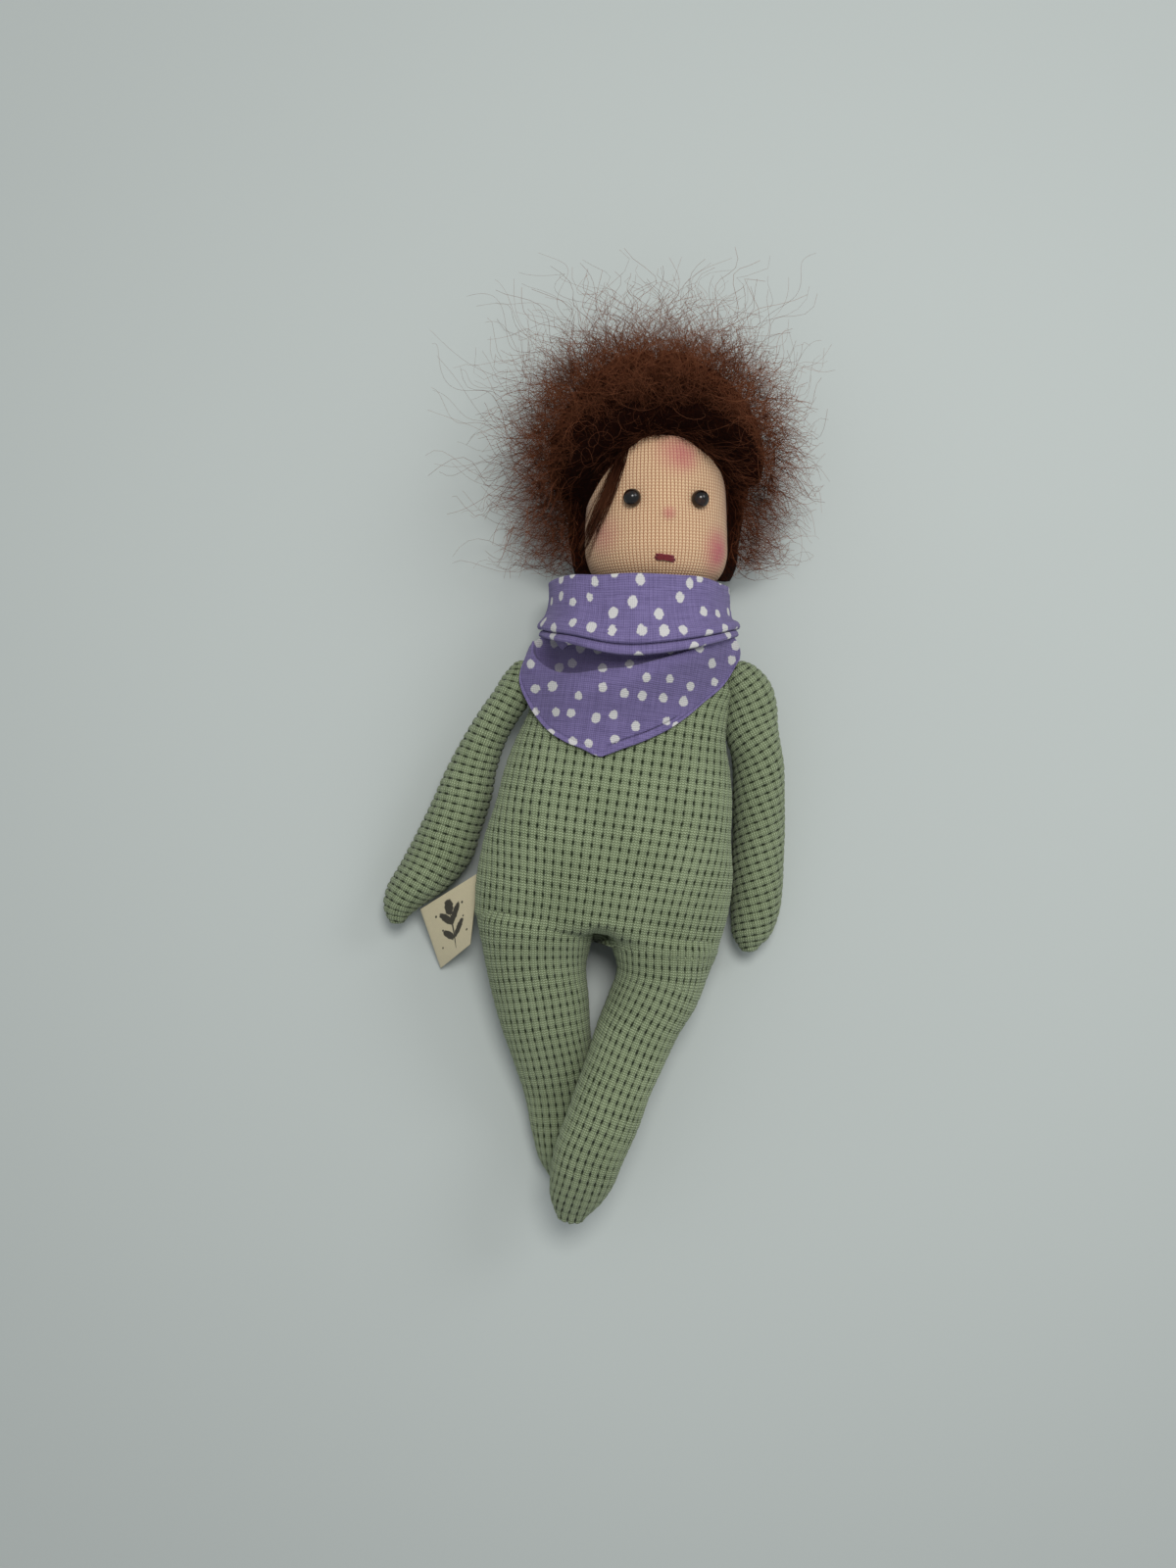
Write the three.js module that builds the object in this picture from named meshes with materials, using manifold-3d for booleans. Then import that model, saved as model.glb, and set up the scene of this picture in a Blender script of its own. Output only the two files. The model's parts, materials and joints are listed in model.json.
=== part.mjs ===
// A soft cloth doll lying on its back: knitted body stuffed with wool, jersey head,
// bead eyes, brushed hair, a folded neck scarf and a sewn-in side label.
// Millimetres. +X across the doll, +Y towards the head, +Z up from the floor.
import * as THREE from "three";
import { mergeVertices } from "three/addons/utils/BufferGeometryUtils.js";
import Module from "manifold-3d";

const wasm = await Module();
wasm.setup();

// Clearances and cloth walls
const fitGap = 0.35;
const knitWall = 1.2;
const jerseyWall = 0.8;
const threadRadius = 0.45;
const restCut = 0.5;
const overrun = 14;
const weldDistance = 1e-4;
const sliverLimit = 0.02;

// Torso, measured along a spine that leans over from the hips
const spineLean = THREE.MathUtils.degToRad(8.5);
const hipX = 1.6;
const hipY = -60.5;
const torsoLength = 99;
const torsoWidth = 86.6;
const torsoDepth = 47;
const torsoSides = 20;
const clothPower = 2.3;
// along, width, depth, sideways and back-off-the-floor shares
const torsoShares = [
  [0, 0.975, 0.94, 0, 0],
  [0.12, 1, 0.98, 0, 0],
  [0.25, 0.993, 1, 0, 0],
  [0.38, 0.945, 0.985, 0, 0],
  [0.51, 0.91, 0.94, 0, 0],
  [0.61, 0.86, 0.88, 0, 0],
  [0.73, 0.785, 0.82, 0, 0],
  [0.84, 0.77, 0.74, 0.006, 0.04],
  [0.91, 0.71, 0.64, 0.03, 0.12],
  [0.965, 0.52, 0.54, 0.05, 0.2],
  [1, 0.3, 0.42, 0.055, 0.3],
];

// Hip crease: both legs fold on a line close under the front of the cloth
const creaseRadius = 4;
const hipSeamGap = 1.6;
const foldReach = THREE.MathUtils.degToRad(135);
const creaseDepth = 12;
const hipNotchRadius = 5;
const hipStitchInset = 2.2;
const gussetLength = 5;
const gussetBottom = 8;
const crotchX = 1.2;
const crotchWidth = 4.8;

// Legs: along, sideways, width, depth and height-of-middle shares
const legLength = 92;
const legWidth = 40;
const legDepth = 43;
const legSides = 16;
const leftLegShares = [
  [0, 0, 1, 1, 0.5],
  [0.13, 0.03, 0.9, 0.9, 0.45],
  [0.27, 0.125, 0.85, 0.81, 0.405],
  [0.4, 0.22, 0.79, 0.72, 0.36],
  [0.54, 0.338, 0.7, 0.6, 0.3],
  [0.67, 0.433, 0.615, 0.5, 0.25],
  [0.8, 0.503, 0.545, 0.45, 0.225],
  [0.91, 0.555, 0.42, 0.36, 0.21],
  [0.98, 0.57, 0.2, 0.19, 0.2],
];
const upperLegLength = 100;
const rightLegShares = [
  [0, 0, 0.98, 1, 0.5],
  [0.1, 0.032, 0.78, 0.88, 0.48],
  [0.21, -0.018, 0.74, 0.81, 0.475],
  [0.31, -0.105, 0.68, 0.74, 0.51],
  [0.37, -0.145, 0.66, 0.7, 0.55],
  [0.42, -0.178, 0.645, 0.67, 0.615],
  [0.5, -0.235, 0.62, 0.62, 0.735],
  [0.62, -0.298, 0.61, 0.57, 0.79],
  [0.74, -0.37, 0.58, 0.52, 0.785],
  [0.84, -0.4, 0.525, 0.46, 0.73],
  [0.91, -0.425, 0.42, 0.37, 0.68],
  [0.97, -0.44, 0.24, 0.23, 0.64],
];
const spreadPivotInset = 3;
const leftLegX = crotchX - (crotchWidth + legWidth * leftLegShares[0][2]) / 2;
const rightLegX = crotchX + (crotchWidth + legWidth * rightLegShares[0][2]) / 2;

// Arms: along, sideways, width, depth and drop shares from the shoulder ball
const shoulderRadius = 7.8;
const armSides = 14;
const shoulderZ = 20;
const shoulderFaceTop = 46;
const shoulderFaceBottom = 17;
const armLength = 92;
const armWidth = 24.6;
const leftShoulderX = hipX - torsoWidth * 0.3337;
const leftShoulderY = 26.6;
const leftArmShares = [
  [0.2, -0.36, 0.6, 0.63, -0.07],
  [0.33, -0.59, 0.69, 0.68, -0.13],
  [0.45, -0.735, 0.81, 0.78, -0.21],
  [0.57, -0.92, 0.89, 0.86, -0.28],
  [0.69, -1.12, 0.96, 0.92, -0.32],
  [0.8, -1.42, 0.82, 0.86, -0.36],
  [0.87, -1.625, 0.46, 0.6, -0.38],
  [0.91, -1.68, 0.24, 0.34, -0.39],
];
const rightShoulderX = hipX + torsoWidth * 0.612;
const rightShoulderY = 25.5;
const rightArmLength = 94;
const rightArmShares = [
  [0.065, 0.05, 0.61, 0.62, -0.02],
  [0.17, 0.03, 0.74, 0.7, -0.06],
  [0.28, 0.13, 0.72, 0.76, -0.13],
  [0.4, 0.155, 0.71, 0.8, -0.21],
  [0.56, 0.165, 0.71, 0.82, -0.31],
  [0.67, 0.155, 0.72, 0.82, -0.38],
  [0.78, 0.14, 0.7, 0.8, -0.4],
  [0.89, 0.1, 0.62, 0.7, -0.42],
  [0.95, 0.06, 0.48, 0.54, -0.42],
  [0.985, 0.03, 0.26, 0.3, -0.42],
];

// Neck and head, both turned on a line along Y
const neckX = 22;
const neckZ = 27.5;
const nodY = 60;
const neckRadius = 6.5;
const neckFoot = 37.7;
const neckThreadRadius = 0.8;
const headRadius = 24.3;
const headHeight = 78;
const chinDrop = 14;
const headSegments = 20;
const gauzeWall = 0.7;
// along from the chin, and radius shares
const headShares = [
  [0, 0],
  [0.013, 0.21],
  [0.05, 0.39],
  [0.103, 0.54],
  [0.155, 0.76],
  [0.205, 0.905],
  [0.27, 0.985],
  [0.36, 1],
  [0.54, 0.975],
  [0.66, 0.95],
  [0.77, 0.86],
  [0.86, 0.7],
  [0.94, 0.46],
  [0.985, 0.21],
  [1, 0],
];
const neckHoleRadius = 4;
const eyeRadius = 2.9;
const eyeStandShare = 0.45;
const eyeSpacing = 22.6;
const eyeHeight = 24.6;
const faceMiddle = 2.4;
const eyeThreadLength = 9;
const mouthWidth = 6.6;
const mouthHeight = 5.4;
const mouthRadius = 0.6;

// Hair cap and hair
const capWall = 1;
const faceWidth = 46;
const faceTop = 45;
const faceBottom = -20;
const hairWidth = 108;
const hairLength = 100;
const hairDepth = 55;
const hairX = -3;
const hairY = 49;
const hairRings = 16;
const hairHem = 1.8;
const nodClearance = THREE.MathUtils.degToRad(16);

// Scarf: a wrap round the neck with two rolled folds, and a front point
const wrapX = 16;
const wrapHalfWidth = 30.2;
const wrapHalfDepth = 25.8;
const wrapTop = 59.4;
const wrapHeight = 21.6;
const wrapFrontDrop = 9;
const wrapSegments = 36;
const rollOut = 4.6;
const rollFrontShare = 0.5;
const rollBackShare = 0.15;
const clothFold = 1.5;
// up and outward shares of the wrap's section, outside first and then inside
const wrapShares = [
  [1, 0.05],
  [0.62, 0.2],
  [0.4, 0.42],
  [0.36, 0.8],
  [0.28, 1],
  [0.21, 0.82],
  [0.18, 0.6],
  [0.13, 0.9],
  [0.06, 0.95],
  [0, 0.55],
  [0.02, 0.1],
  [0.2, -0.05],
  [0.6, -0.2],
  [0.98, -0.3],
];
const drapeWidth = 72;
const drapeLength = 38.4;
const drapeTop = 38;
const drapeTurn = THREE.MathUtils.degToRad(72);
const drapeColumns = 26;
const drapeRows = 7;
const drapeLift = 1.2;
const edgeShare = 0.93;
const foldHeight = 2.2;
// across, sideways and downward shares of the front point's hem
const hemShares = [
  [-1, -0.56, -0.2],
  [-0.8, -0.545, -0.47],
  [-0.6, -0.453, -0.721],
  [-0.4, -0.356, -0.862],
  [-0.22, -0.268, -0.93],
  [-0.07, -0.182, -1],
  [0.08, -0.092, -0.93],
  [0.3, 0.018, -0.862],
  [0.55, 0.164, -0.724],
  [0.8, 0.306, -0.516],
  [1, 0.426, -0.297],
];
const knotWidth = 15;
const knotHeight = 7;
const knotDepth = 3.8;
const knotY = 33;

// Label: a folded tape held at the left side seam
const labelTop = new THREE.Vector3(-39.2, -40.2, 21);
const labelBottom = new THREE.Vector3(-42.5, -65.5, 17);
const labelFoldTop = new THREE.Vector3(-60.4, -53.6, 12);
const labelFoldBottom = new THREE.Vector3(-54, -75.4, 2.4);
const tapeWall = 0.45;
const tapeSlit = 0.4;
const tapeCells = 6;
const foldShare = 0.03;

// Solids: three.js geometries joined and cut as closed solids
function solidOf(geometry) {
  const plain = geometry.index ? geometry.toNonIndexed() : geometry.clone();
  for (const name of Object.keys(plain.attributes)) {
    if (name !== "position") plain.deleteAttribute(name);
  }
  const merged = mergeVertices(plain, weldDistance);
  return new wasm.Manifold(
    new wasm.Mesh({
      numProp: 3,
      vertProperties: new Float32Array(merged.attributes.position.array),
      triVerts: new Uint32Array(merged.index.array),
    }),
  );
}

function geometryOf(solid) {
  const mesh = solid.getMesh();
  const geometry = new THREE.BufferGeometry();
  geometry.setAttribute("position", new THREE.BufferAttribute(mesh.vertProperties, 3));
  geometry.setIndex(new THREE.BufferAttribute(mesh.triVerts, 1));
  geometry.computeVertexNormals();
  return geometry;
}

// A closed grid surface: rings of points, with a fan round the middle of each end
function ringSurface(rings) {
  const { points, faces, sides } = ringWalls(rings);
  for (const end of [0, rings.length - 1]) {
    const middle = new THREE.Vector3();
    rings[end].forEach((p) => middle.addScaledVector(p, 1 / sides));
    points.push(middle);
    for (let j = 0; j < sides; j++) {
      const a = end * sides + j;
      const b = end * sides + ((j + 1) % sides);
      faces.push(end === 0 ? [points.length - 1, b, a] : [points.length - 1, a, b]);
    }
  }
  return closedGeometry(points, faces);
}

function ringWalls(rings) {
  const points = rings.flat();
  const faces = [];
  const sides = rings[0].length;
  for (let i = 0; i + 1 < rings.length; i++) {
    for (let j = 0; j < sides; j++) {
      const a = i * sides + j;
      const b = i * sides + ((j + 1) % sides);
      faces.push([a, b, b + sides], [a, b + sides, a + sides]);
    }
  }
  return { points, faces, sides };
}

// Rings that run out along one face of a sheet and back along the other
function sheetSurface(rings) {
  const { points, faces, sides } = ringWalls(rings);
  const last = (rings.length - 1) * sides;
  for (let i = 0; i + 1 < sides / 2; i++) {
    const [a, b, c, d] = [i, i + 1, sides - 2 - i, sides - 1 - i];
    faces.push([a, c, b], [a, d, c]);
    faces.push([last + a, last + b, last + c], [last + a, last + c, last + d]);
  }
  return closedGeometry(points, faces);
}

function signedVolume(points, faces) {
  const cross = new THREE.Vector3();
  return faces.reduce((sum, [a, b, c]) => {
    return sum + points[a].dot(cross.crossVectors(points[b], points[c]));
  }, 0);
}

function closedGeometry(points, faces) {
  const outward = signedVolume(points, faces) > 0;
  const geometry = new THREE.BufferGeometry().setFromPoints(points);
  geometry.setIndex(faces.flatMap(([a, b, c]) => (outward ? [a, b, c] : [a, c, b])));
  return geometry;
}

// A cloth tube along Y: stations hold y, x, z and the half width and half depth
function clothTube(stations, sides, grow = 0) {
  return ringSurface(
    stations.map(({ x, y, z, width, depth }) => {
      return Array.from({ length: sides }, (_, i) => {
        const turn = (2 * Math.PI * (i + 0.5)) / sides;
        const c = Math.cos(turn);
        const s = Math.sin(turn);
        const size = (Math.abs(c) ** clothPower + Math.abs(s) ** clothPower) ** (-1 / clothPower);
        return new THREE.Vector3(
          x + (width + grow) * size * c,
          y,
          z + (depth + grow) * size * s,
        );
      });
    }),
  );
}

function box(x0, x1, y0, y1, z0, z1) {
  const geometry = new THREE.BoxGeometry(x1 - x0, y1 - y0, z1 - z0);
  return solidOf(geometry.translate((x0 + x1) / 2, (y0 + y1) / 2, (z0 + z1) / 2));
}

function rodX(radius, x0, x1, y, z, sides = 24) {
  const geometry = new THREE.CylinderGeometry(radius, radius, x1 - x0, sides);
  return solidOf(geometry.rotateZ(Math.PI / 2).translate((x0 + x1) / 2, y, z));
}

function rodZ(radius, z0, z1, x, y, sides = 16) {
  const geometry = new THREE.CylinderGeometry(radius, radius, z1 - z0, sides);
  return solidOf(geometry.rotateX(Math.PI / 2).translate(x, y, (z0 + z1) / 2));
}

function material(color, roughness) {
  return new THREE.MeshStandardMaterial({ color, roughness, metalness: 0 });
}

const cloths = {
  waffle: () => material(0x93a37b, 0.95),
  wool: () => material(0xe9e2d2, 1),
  jersey: () => material(0xe0b48e, 0.9),
  gauze: () => material(0xefe6d6, 0.95),
  thread: () => material(0x8c9a76, 0.9),
  hair: () => material(0x5a2a17, 0.8),
  bead: () => material(0x140c0a, 0.08),
  mouth: () => material(0x8e2433, 0.7),
  scarf: () => material(0x8d7cc0, 0.9),
  tape: () => material(0xd9ccae, 0.9),
};

function add(group, name, solid, cloth) {
  const mesh = new THREE.Mesh(geometryOf(solid), cloths[cloth]());
  mesh.name = name;
  group.add(mesh);
}

function joint(parent, name, x, y, z) {
  const group = new THREE.Group();
  group.name = name;
  group.position.set(x, y, z);
  parent.add(group);
  return group;
}

const reach = torsoLength + hairLength;
const aboveFloor = box(-reach, reach, -reach, reach, 0, reach);

// Torso, in the leaning frame of the spine with its origin on the floor at the hips
function torsoStations(wall, fromShare = 0) {
  return torsoShares.map(([along, width, depth, aside, lifted], i) => ({
    x: aside * torsoWidth,
    y: i === 0 ? fromShare : along * torsoLength,
    z: (depth / 2 + lifted) * torsoDepth - restCut,
    width: (width * torsoWidth) / 2 - wall,
    depth: (depth * torsoDepth) / 2 - wall,
  }));
}

const hipDepth = torsoShares[0][2] * torsoDepth - restCut;
const foldZ = hipDepth - creaseRadius;
const leftSpreadX = leftLegX - legWidth / 2 + spreadPivotInset;
const rightSpreadX = rightLegX + (legWidth * rightLegShares[0][2]) / 2 - spreadPivotInset;

// The crease opens forward as far as the legs fold
function creaseCut() {
  const radius = creaseRadius + fitGap;
  const y = radius * Math.sin(foldReach);
  const z = radius * Math.cos(foldReach);
  const slope = -Math.tan(foldReach - Math.PI / 2);
  const outline = new THREE.Shape([
    new THREE.Vector2(-creaseDepth, z),
    new THREE.Vector2(y, z),
    new THREE.Vector2(y - (creaseDepth - z) * slope, creaseDepth),
    new THREE.Vector2(-creaseDepth, creaseDepth),
  ]);
  const lined = new THREE.Matrix4().makeBasis(
    new THREE.Vector3(0, 1, 0),
    new THREE.Vector3(0, 0, 1),
    new THREE.Vector3(1, 0, 0),
  );
  const straight = new THREE.ExtrudeGeometry(outline, { depth: torsoWidth * 2, bevelEnabled: false });
  straight.applyMatrix4(lined).translate(-torsoWidth, 0, foldZ);
  return solidOf(straight).add(rodX(radius, -torsoWidth, torsoWidth, 0, foldZ));
}

const spineFrame = new THREE.Matrix4()
  .makeRotationZ(-spineLean)
  .setPosition(hipX, hipY, 0);

function inSpine(solid) {
  return solidOf(geometryOf(solid).applyMatrix4(spineFrame));
}

const armFaceGap = shoulderRadius + fitGap;

function shoulderCuts() {
  const left = leftShoulderX + armFaceGap;
  const right = rightShoulderX - armFaceGap;
  return box(left - reach, left, shoulderFaceBottom, shoulderFaceTop, -overrun, torsoDepth).add(
    box(right, right + reach, shoulderFaceBottom, shoulderFaceTop, -overrun, torsoDepth),
  );
}

function hipCuts() {
  const cuts = creaseCut();
  return cuts
    .add(rodZ(hipNotchRadius, -overrun, torsoDepth + overrun, leftSpreadX, 0))
    .add(rodZ(hipNotchRadius, -overrun, torsoDepth + overrun, rightSpreadX, 0));
}

function cutTorso(stations) {
  const tube = solidOf(clothTube(stations, torsoSides)).subtract(hipCuts());
  return inSpine(tube).subtract(shoulderCuts()).intersect(aboveFloor);
}

const outerTorso = cutTorso(torsoStations(0, hipSeamGap));

function makeTorso(group) {
  const stations = torsoStations(knitWall);
  const first = stations[0];
  const last = stations[stations.length - 1];
  const through = [
    { ...first, y: -overrun },
    ...stations.slice(1, -1),
    { ...last, y: last.y - knitWall },
    { ...last, y: last.y + overrun },
  ];
  const hollow = inSpine(solidOf(clothTube(through, torsoSides)));
  add(group, "torso_skin", outerTorso.subtract(hollow), "waffle");
  const wad = torsoStations(knitWall + fitGap, hipSeamGap + fitGap);
  wad[wad.length - 1].y -= knitWall;
  add(group, "torso_fill", cutTorso(wad).intersect(box(
    leftShoulderX + armFaceGap + fitGap,
    rightShoulderX - armFaceGap - fitGap,
    -reach,
    reach,
    fitGap,
    reach,
  )), "wool");
}

// Legs, in the frame of the hips
function legStations(shares, length, middle, wall, lower) {
  return shares.map(([along, aside, width, depth, up]) => ({
    x: middle + aside * legWidth,
    y: -along * length,
    z: up * legDepth - lower,
    width: (width * legWidth) / 2 - wall,
    depth: (depth * legDepth) / 2 - wall,
  }));
}

function legTopSpace(gap) {
  const below = box(-reach, reach, -reach, -gap, -reach, reach);
  const roll = rodX(creaseRadius - gap, -reach, reach, 0, foldZ);
  return below.add(roll);
}

function makeLeg(group, side, shares, length, middle, pivotX) {
  const outer = legStations(shares, length, middle, 0, restCut);
  const top = { ...outer[0], y: creaseRadius + overrun };
  const tube = solidOf(clothTube([top, ...outer], legSides));
  const whole = tube.intersect(legTopSpace(0)).intersect(aboveFloor);
  const inner = legStations(shares, length, middle, knitWall, restCut);
  inner[inner.length - 1].y += knitWall;
  const hollowTop = { ...inner[0], y: creaseRadius + overrun };
  const hollow = solidOf(clothTube([hollowTop, ...inner], legSides));
  const wad = legStations(shares, length, middle, knitWall + fitGap, restCut);
  wad[wad.length - 1].y += knitWall + fitGap;
  const wadTop = { ...wad[0], y: creaseRadius + overrun };
  const fill = solidOf(clothTube([wadTop, ...wad], legSides)).intersect(legTopSpace(fitGap));
  const floorGap = box(-reach, reach, -reach, reach, fitGap, reach);
  const move = [-pivotX, 0, -foldZ];
  add(group, side + "_leg_skin", whole.subtract(hollow).translate(move), "waffle");
  add(group, side + "_leg_fill", fill.intersect(floorGap).translate(move), "wool");
}

function hipStitch(x) {
  const y = hipSeamGap / 2;
  const bottom = legDepth / 4;
  return rodZ(threadRadius, bottom, foldZ - creaseRadius - fitGap * 2, x, y, 8);
}

function makeHips(group) {
  const left = crotchX - crotchWidth / 2 + fitGap;
  const right = crotchX + crotchWidth / 2 - fitGap;
  const gusset = box(left, right, -gussetLength, -fitGap, gussetBottom, foldZ - creaseRadius);
  add(group, "crotch_gusset", gusset.translate([0, 0, -foldZ]), "waffle");
  const stitch = hipStitch(leftSpreadX + hipStitchInset);
  add(group, "left_hip_stitch", stitch.translate([0, 0, -foldZ]), "thread");
}

// Arms, each from a round shoulder end that turns in place
function armStations(shares, length, wall) {
  const ball = [-75, -50, -25, 0].map((degrees) => {
    const turn = THREE.MathUtils.degToRad(degrees);
    const radius = (shoulderRadius - wall) * Math.cos(turn);
    return { x: 0, y: -(shoulderRadius - wall) * Math.sin(turn), z: 0, width: radius, depth: radius };
  });
  return [
    ...ball,
    ...shares.map(([along, aside, width, depth, drop]) => ({
      x: aside * armWidth,
      y: -along * length,
      z: drop * armWidth,
      width: (width * armWidth) / 2 - wall,
      depth: (depth * armWidth) / 2 - wall,
    })),
  ];
}

// The shoulder end is a true ball, so its section stays round and turns to the cloth section
function armTube(shares, length, wall, clip) {
  const stations = armStations(shares, length, wall);
  if (clip) stations[stations.length - 1].y += wall;
  return ringSurface(
    stations.map(({ x, y, z, width, depth }) => {
      return Array.from({ length: armSides }, (_, i) => {
        const turn = (2 * Math.PI * (i + 0.5)) / armSides;
        return new THREE.Vector3(x + width * Math.cos(turn), y, z + depth * Math.sin(turn));
      });
    }),
  );
}

function makeArm(group, side, shares, length) {
  const floor = box(-reach, reach, -reach, reach, -shoulderZ, reach);
  const outer = solidOf(armTube(shares, length, 0, false)).intersect(floor);
  const mouth = rodX(shoulderRadius / 2, side === "left" ? 0 : -overrun, side === "left" ? overrun : 0, 0, 0);
  const hollow = solidOf(armTube(shares, length, knitWall, true)).add(mouth);
  add(group, side + "_arm_skin", outer.subtract(hollow), "waffle");
  const fill = solidOf(armTube(shares, length, knitWall + fitGap, true));
  const lifted = box(-reach, reach, -reach, reach, fitGap - shoulderZ, reach);
  add(group, side + "_arm_fill", fill.intersect(lifted), "wool");
}

// The gathering thread lies between the shoulder end and the flat of the torso
function makeShoulderThread(group, side) {
  const across = armFaceGap - fitGap - threadRadius;
  const near = shoulderRadius + fitGap + threadRadius;
  const radius = Math.sqrt(near ** 2 - across ** 2);
  const ring = new THREE.TorusGeometry(radius, threadRadius, 8, 24).rotateY(Math.PI / 2);
  ring.translate(side === "left" ? across : -across, 0, 0);
  add(group, side + "_shoulder_thread", solidOf(ring), "thread");
}

// Head, about the nod pivot; each layer is a turned shell with a hole at the neck
function headLayer(grow) {
  const outline = headShares.map(([along, radius]) => {
    return new THREE.Vector2(radius * headRadius, along * headHeight - chinDrop);
  });
  const last = outline.length - 1;
  const points = outline.map((point, i) => {
    if (i === 0 || i === last) return new THREE.Vector2(0, point.y + (i ? grow : -grow));
    const along = outline[i + 1].clone().sub(outline[i - 1]).normalize();
    const moved = new THREE.Vector2(point.x + along.y * grow, point.y - along.x * grow);
    return moved.setX(Math.max(moved.x, neckHoleRadius / 4));
  });
  return solidOf(new THREE.LatheGeometry(points, headSegments));
}

function faceSpace(margin) {
  const window = new THREE.CylinderGeometry(1, 1, headRadius * 3, 24).rotateX(Math.PI / 2);
  const height = faceTop - faceBottom;
  window.scale(faceWidth / 2 + margin, height / 2, 1);
  return solidOf(window.translate(0, faceBottom + height / 2, headRadius * 1.5 + eyeRadius));
}

const eyes = [
  ["left_eye", faceMiddle - eyeSpacing / 2],
  ["right_eye", faceMiddle + eyeSpacing / 2],
];

function surfaceRadius(y) {
  const along = (y + chinDrop) / headHeight;
  const i = headShares.findIndex(([share]) => share >= along);
  const [a0, r0] = headShares[i - 1];
  const [a1, r1] = headShares[i];
  return headRadius * (r0 + ((r1 - r0) * (along - a0)) / (a1 - a0));
}

function surfaceZ(x, y) {
  return Math.sqrt(surfaceRadius(y) ** 2 - x ** 2);
}

function bead(radius, x, z) {
  const ball = new THREE.SphereGeometry(radius, 14, 9).rotateX(Math.PI / 2);
  return solidOf(ball.translate(x, eyeHeight, z));
}

function makeHead(group) {
  const neckHole = solidOf(
    new THREE.CylinderGeometry(neckHoleRadius, neckHoleRadius, chinDrop, 16).translate(0, -chinDrop, 0),
  );
  let skin = headLayer(0).subtract(headLayer(-jerseyWall)).subtract(neckHole);
  const gauzeOut = -jerseyWall - fitGap;
  let gauze = headLayer(gauzeOut).subtract(headLayer(gauzeOut - gauzeWall)).subtract(neckHole);
  let core = headLayer(gauzeOut - gauzeWall - fitGap);
  for (const [name, x] of eyes) {
    const seat = surfaceZ(x, eyeHeight) + eyeRadius * eyeStandShare;
    const threadTop = seat - eyeRadius - fitGap;
    const threadEnd = threadTop - eyeThreadLength;
    const wide = threadRadius + fitGap;
    const hole = rodZ(wide, threadEnd - fitGap, seat + overrun, x, eyeHeight, 8)
      .add(bead(eyeRadius + fitGap, x, seat));
    skin = skin.subtract(hole);
    gauze = gauze.subtract(hole);
    core = core.subtract(hole);
    add(group, name + "_thread", rodZ(threadRadius, threadEnd, threadTop, x, eyeHeight, 8), "thread");
    add(group, name, bead(eyeRadius, x, seat), "bead");
  }
  add(group, "head_skin", skin, "jersey");
  add(group, "head_gauze", gauze, "gauze");
  add(group, "head_wool", core, "wool");
  const mouthZ = surfaceZ(0, mouthHeight) + mouthRadius + fitGap;
  const mouth = rodX(mouthRadius, -mouthWidth / 2, mouthWidth / 2, 0, 0, 8);
  add(group, "mouth_stitch", mouth.translate([faceMiddle, mouthHeight, mouthZ]), "mouth");
  const capIn = fitGap;
  const capRise = box(-reach, reach, hairHem * 2, reach, -reach, reach);
  const cap = headLayer(capIn + capWall).subtract(headLayer(capIn)).subtract(faceSpace(capWall));
  add(group, "hair_cap", cap.intersect(capRise).intersect(nodRoom(hairHem)), "gauze");
  const mass = new THREE.SphereGeometry(1, 24, hairRings).rotateX(Math.PI / 2);
  mass.scale(hairWidth / 2, hairLength / 2, hairDepth / 2);
  mass.translate(hairX, hairY, hairDepth / 2 - neckZ - restCut);
  const hair = solidOf(mass)
    .subtract(headLayer(capIn + capWall + fitGap))
    .subtract(faceSpace(0))
    .intersect(nodRoom(hairHem))
    .intersect(box(-reach, reach, -reach, reach, -neckZ, reach));
  add(group, "hair", hair, "hair");
}

// Everything above the scarf that stays clear of it as the head nods
function nodRoom(hem) {
  const slope = Math.tan(nodClearance);
  const outline = new THREE.Shape([
    new THREE.Vector2(0, hem),
    new THREE.Vector2(reach, hem + reach * slope),
    new THREE.Vector2(reach, reach),
    new THREE.Vector2(-reach, reach),
    new THREE.Vector2(-reach, hem + reach * slope),
  ]);
  const room = new THREE.ExtrudeGeometry(outline, { depth: reach * 2, bevelEnabled: false });
  return solidOf(room.translate(0, 0, -reach).rotateY(-Math.PI / 2));
}

// The neck's top is dished about the nod line, so the chin rolls in it
function makeNeck(group) {
  const length = nodY - neckFoot;
  const post = new THREE.CylinderGeometry(neckRadius, neckRadius, length, 20);
  const dish = new THREE.SphereGeometry(chinDrop + fitGap, 28, 20);
  const core = solidOf(post.translate(0, -length / 2, 0)).subtract(solidOf(dish));
  add(group, "neck_core", core, "wool");
  const ringRadius = neckRadius + fitGap + neckThreadRadius;
  const ring = new THREE.TorusGeometry(ringRadius, neckThreadRadius, 8, 28).rotateX(Math.PI / 2);
  const middle = (neckFoot - nodY - chinDrop) / 2;
  add(group, "neck_thread", solidOf(ring.translate(0, middle, 0)), "thread");
}

// Scarf: the wrap is a closed band of sections round the neck
function wrapPoint(turn, [up, out]) {
  const front = Math.max(Math.cos(turn), 0) ** 2;
  const back = Math.max(-Math.cos(turn), 0) ** 0.5;
  const share = 1 - (1 - rollFrontShare) * front - (1 - rollBackShare) * back;
  const offset = out * (out > 0 ? rollOut * share : rollOut);
  return new THREE.Vector3(
    wrapX + (wrapHalfWidth + offset) * Math.sin(turn),
    wrapTop - (1 - up) * wrapHeight - (1 - up) * wrapFrontDrop * front,
    neckZ + (wrapHalfDepth + offset) * Math.cos(turn),
  );
}

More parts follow.
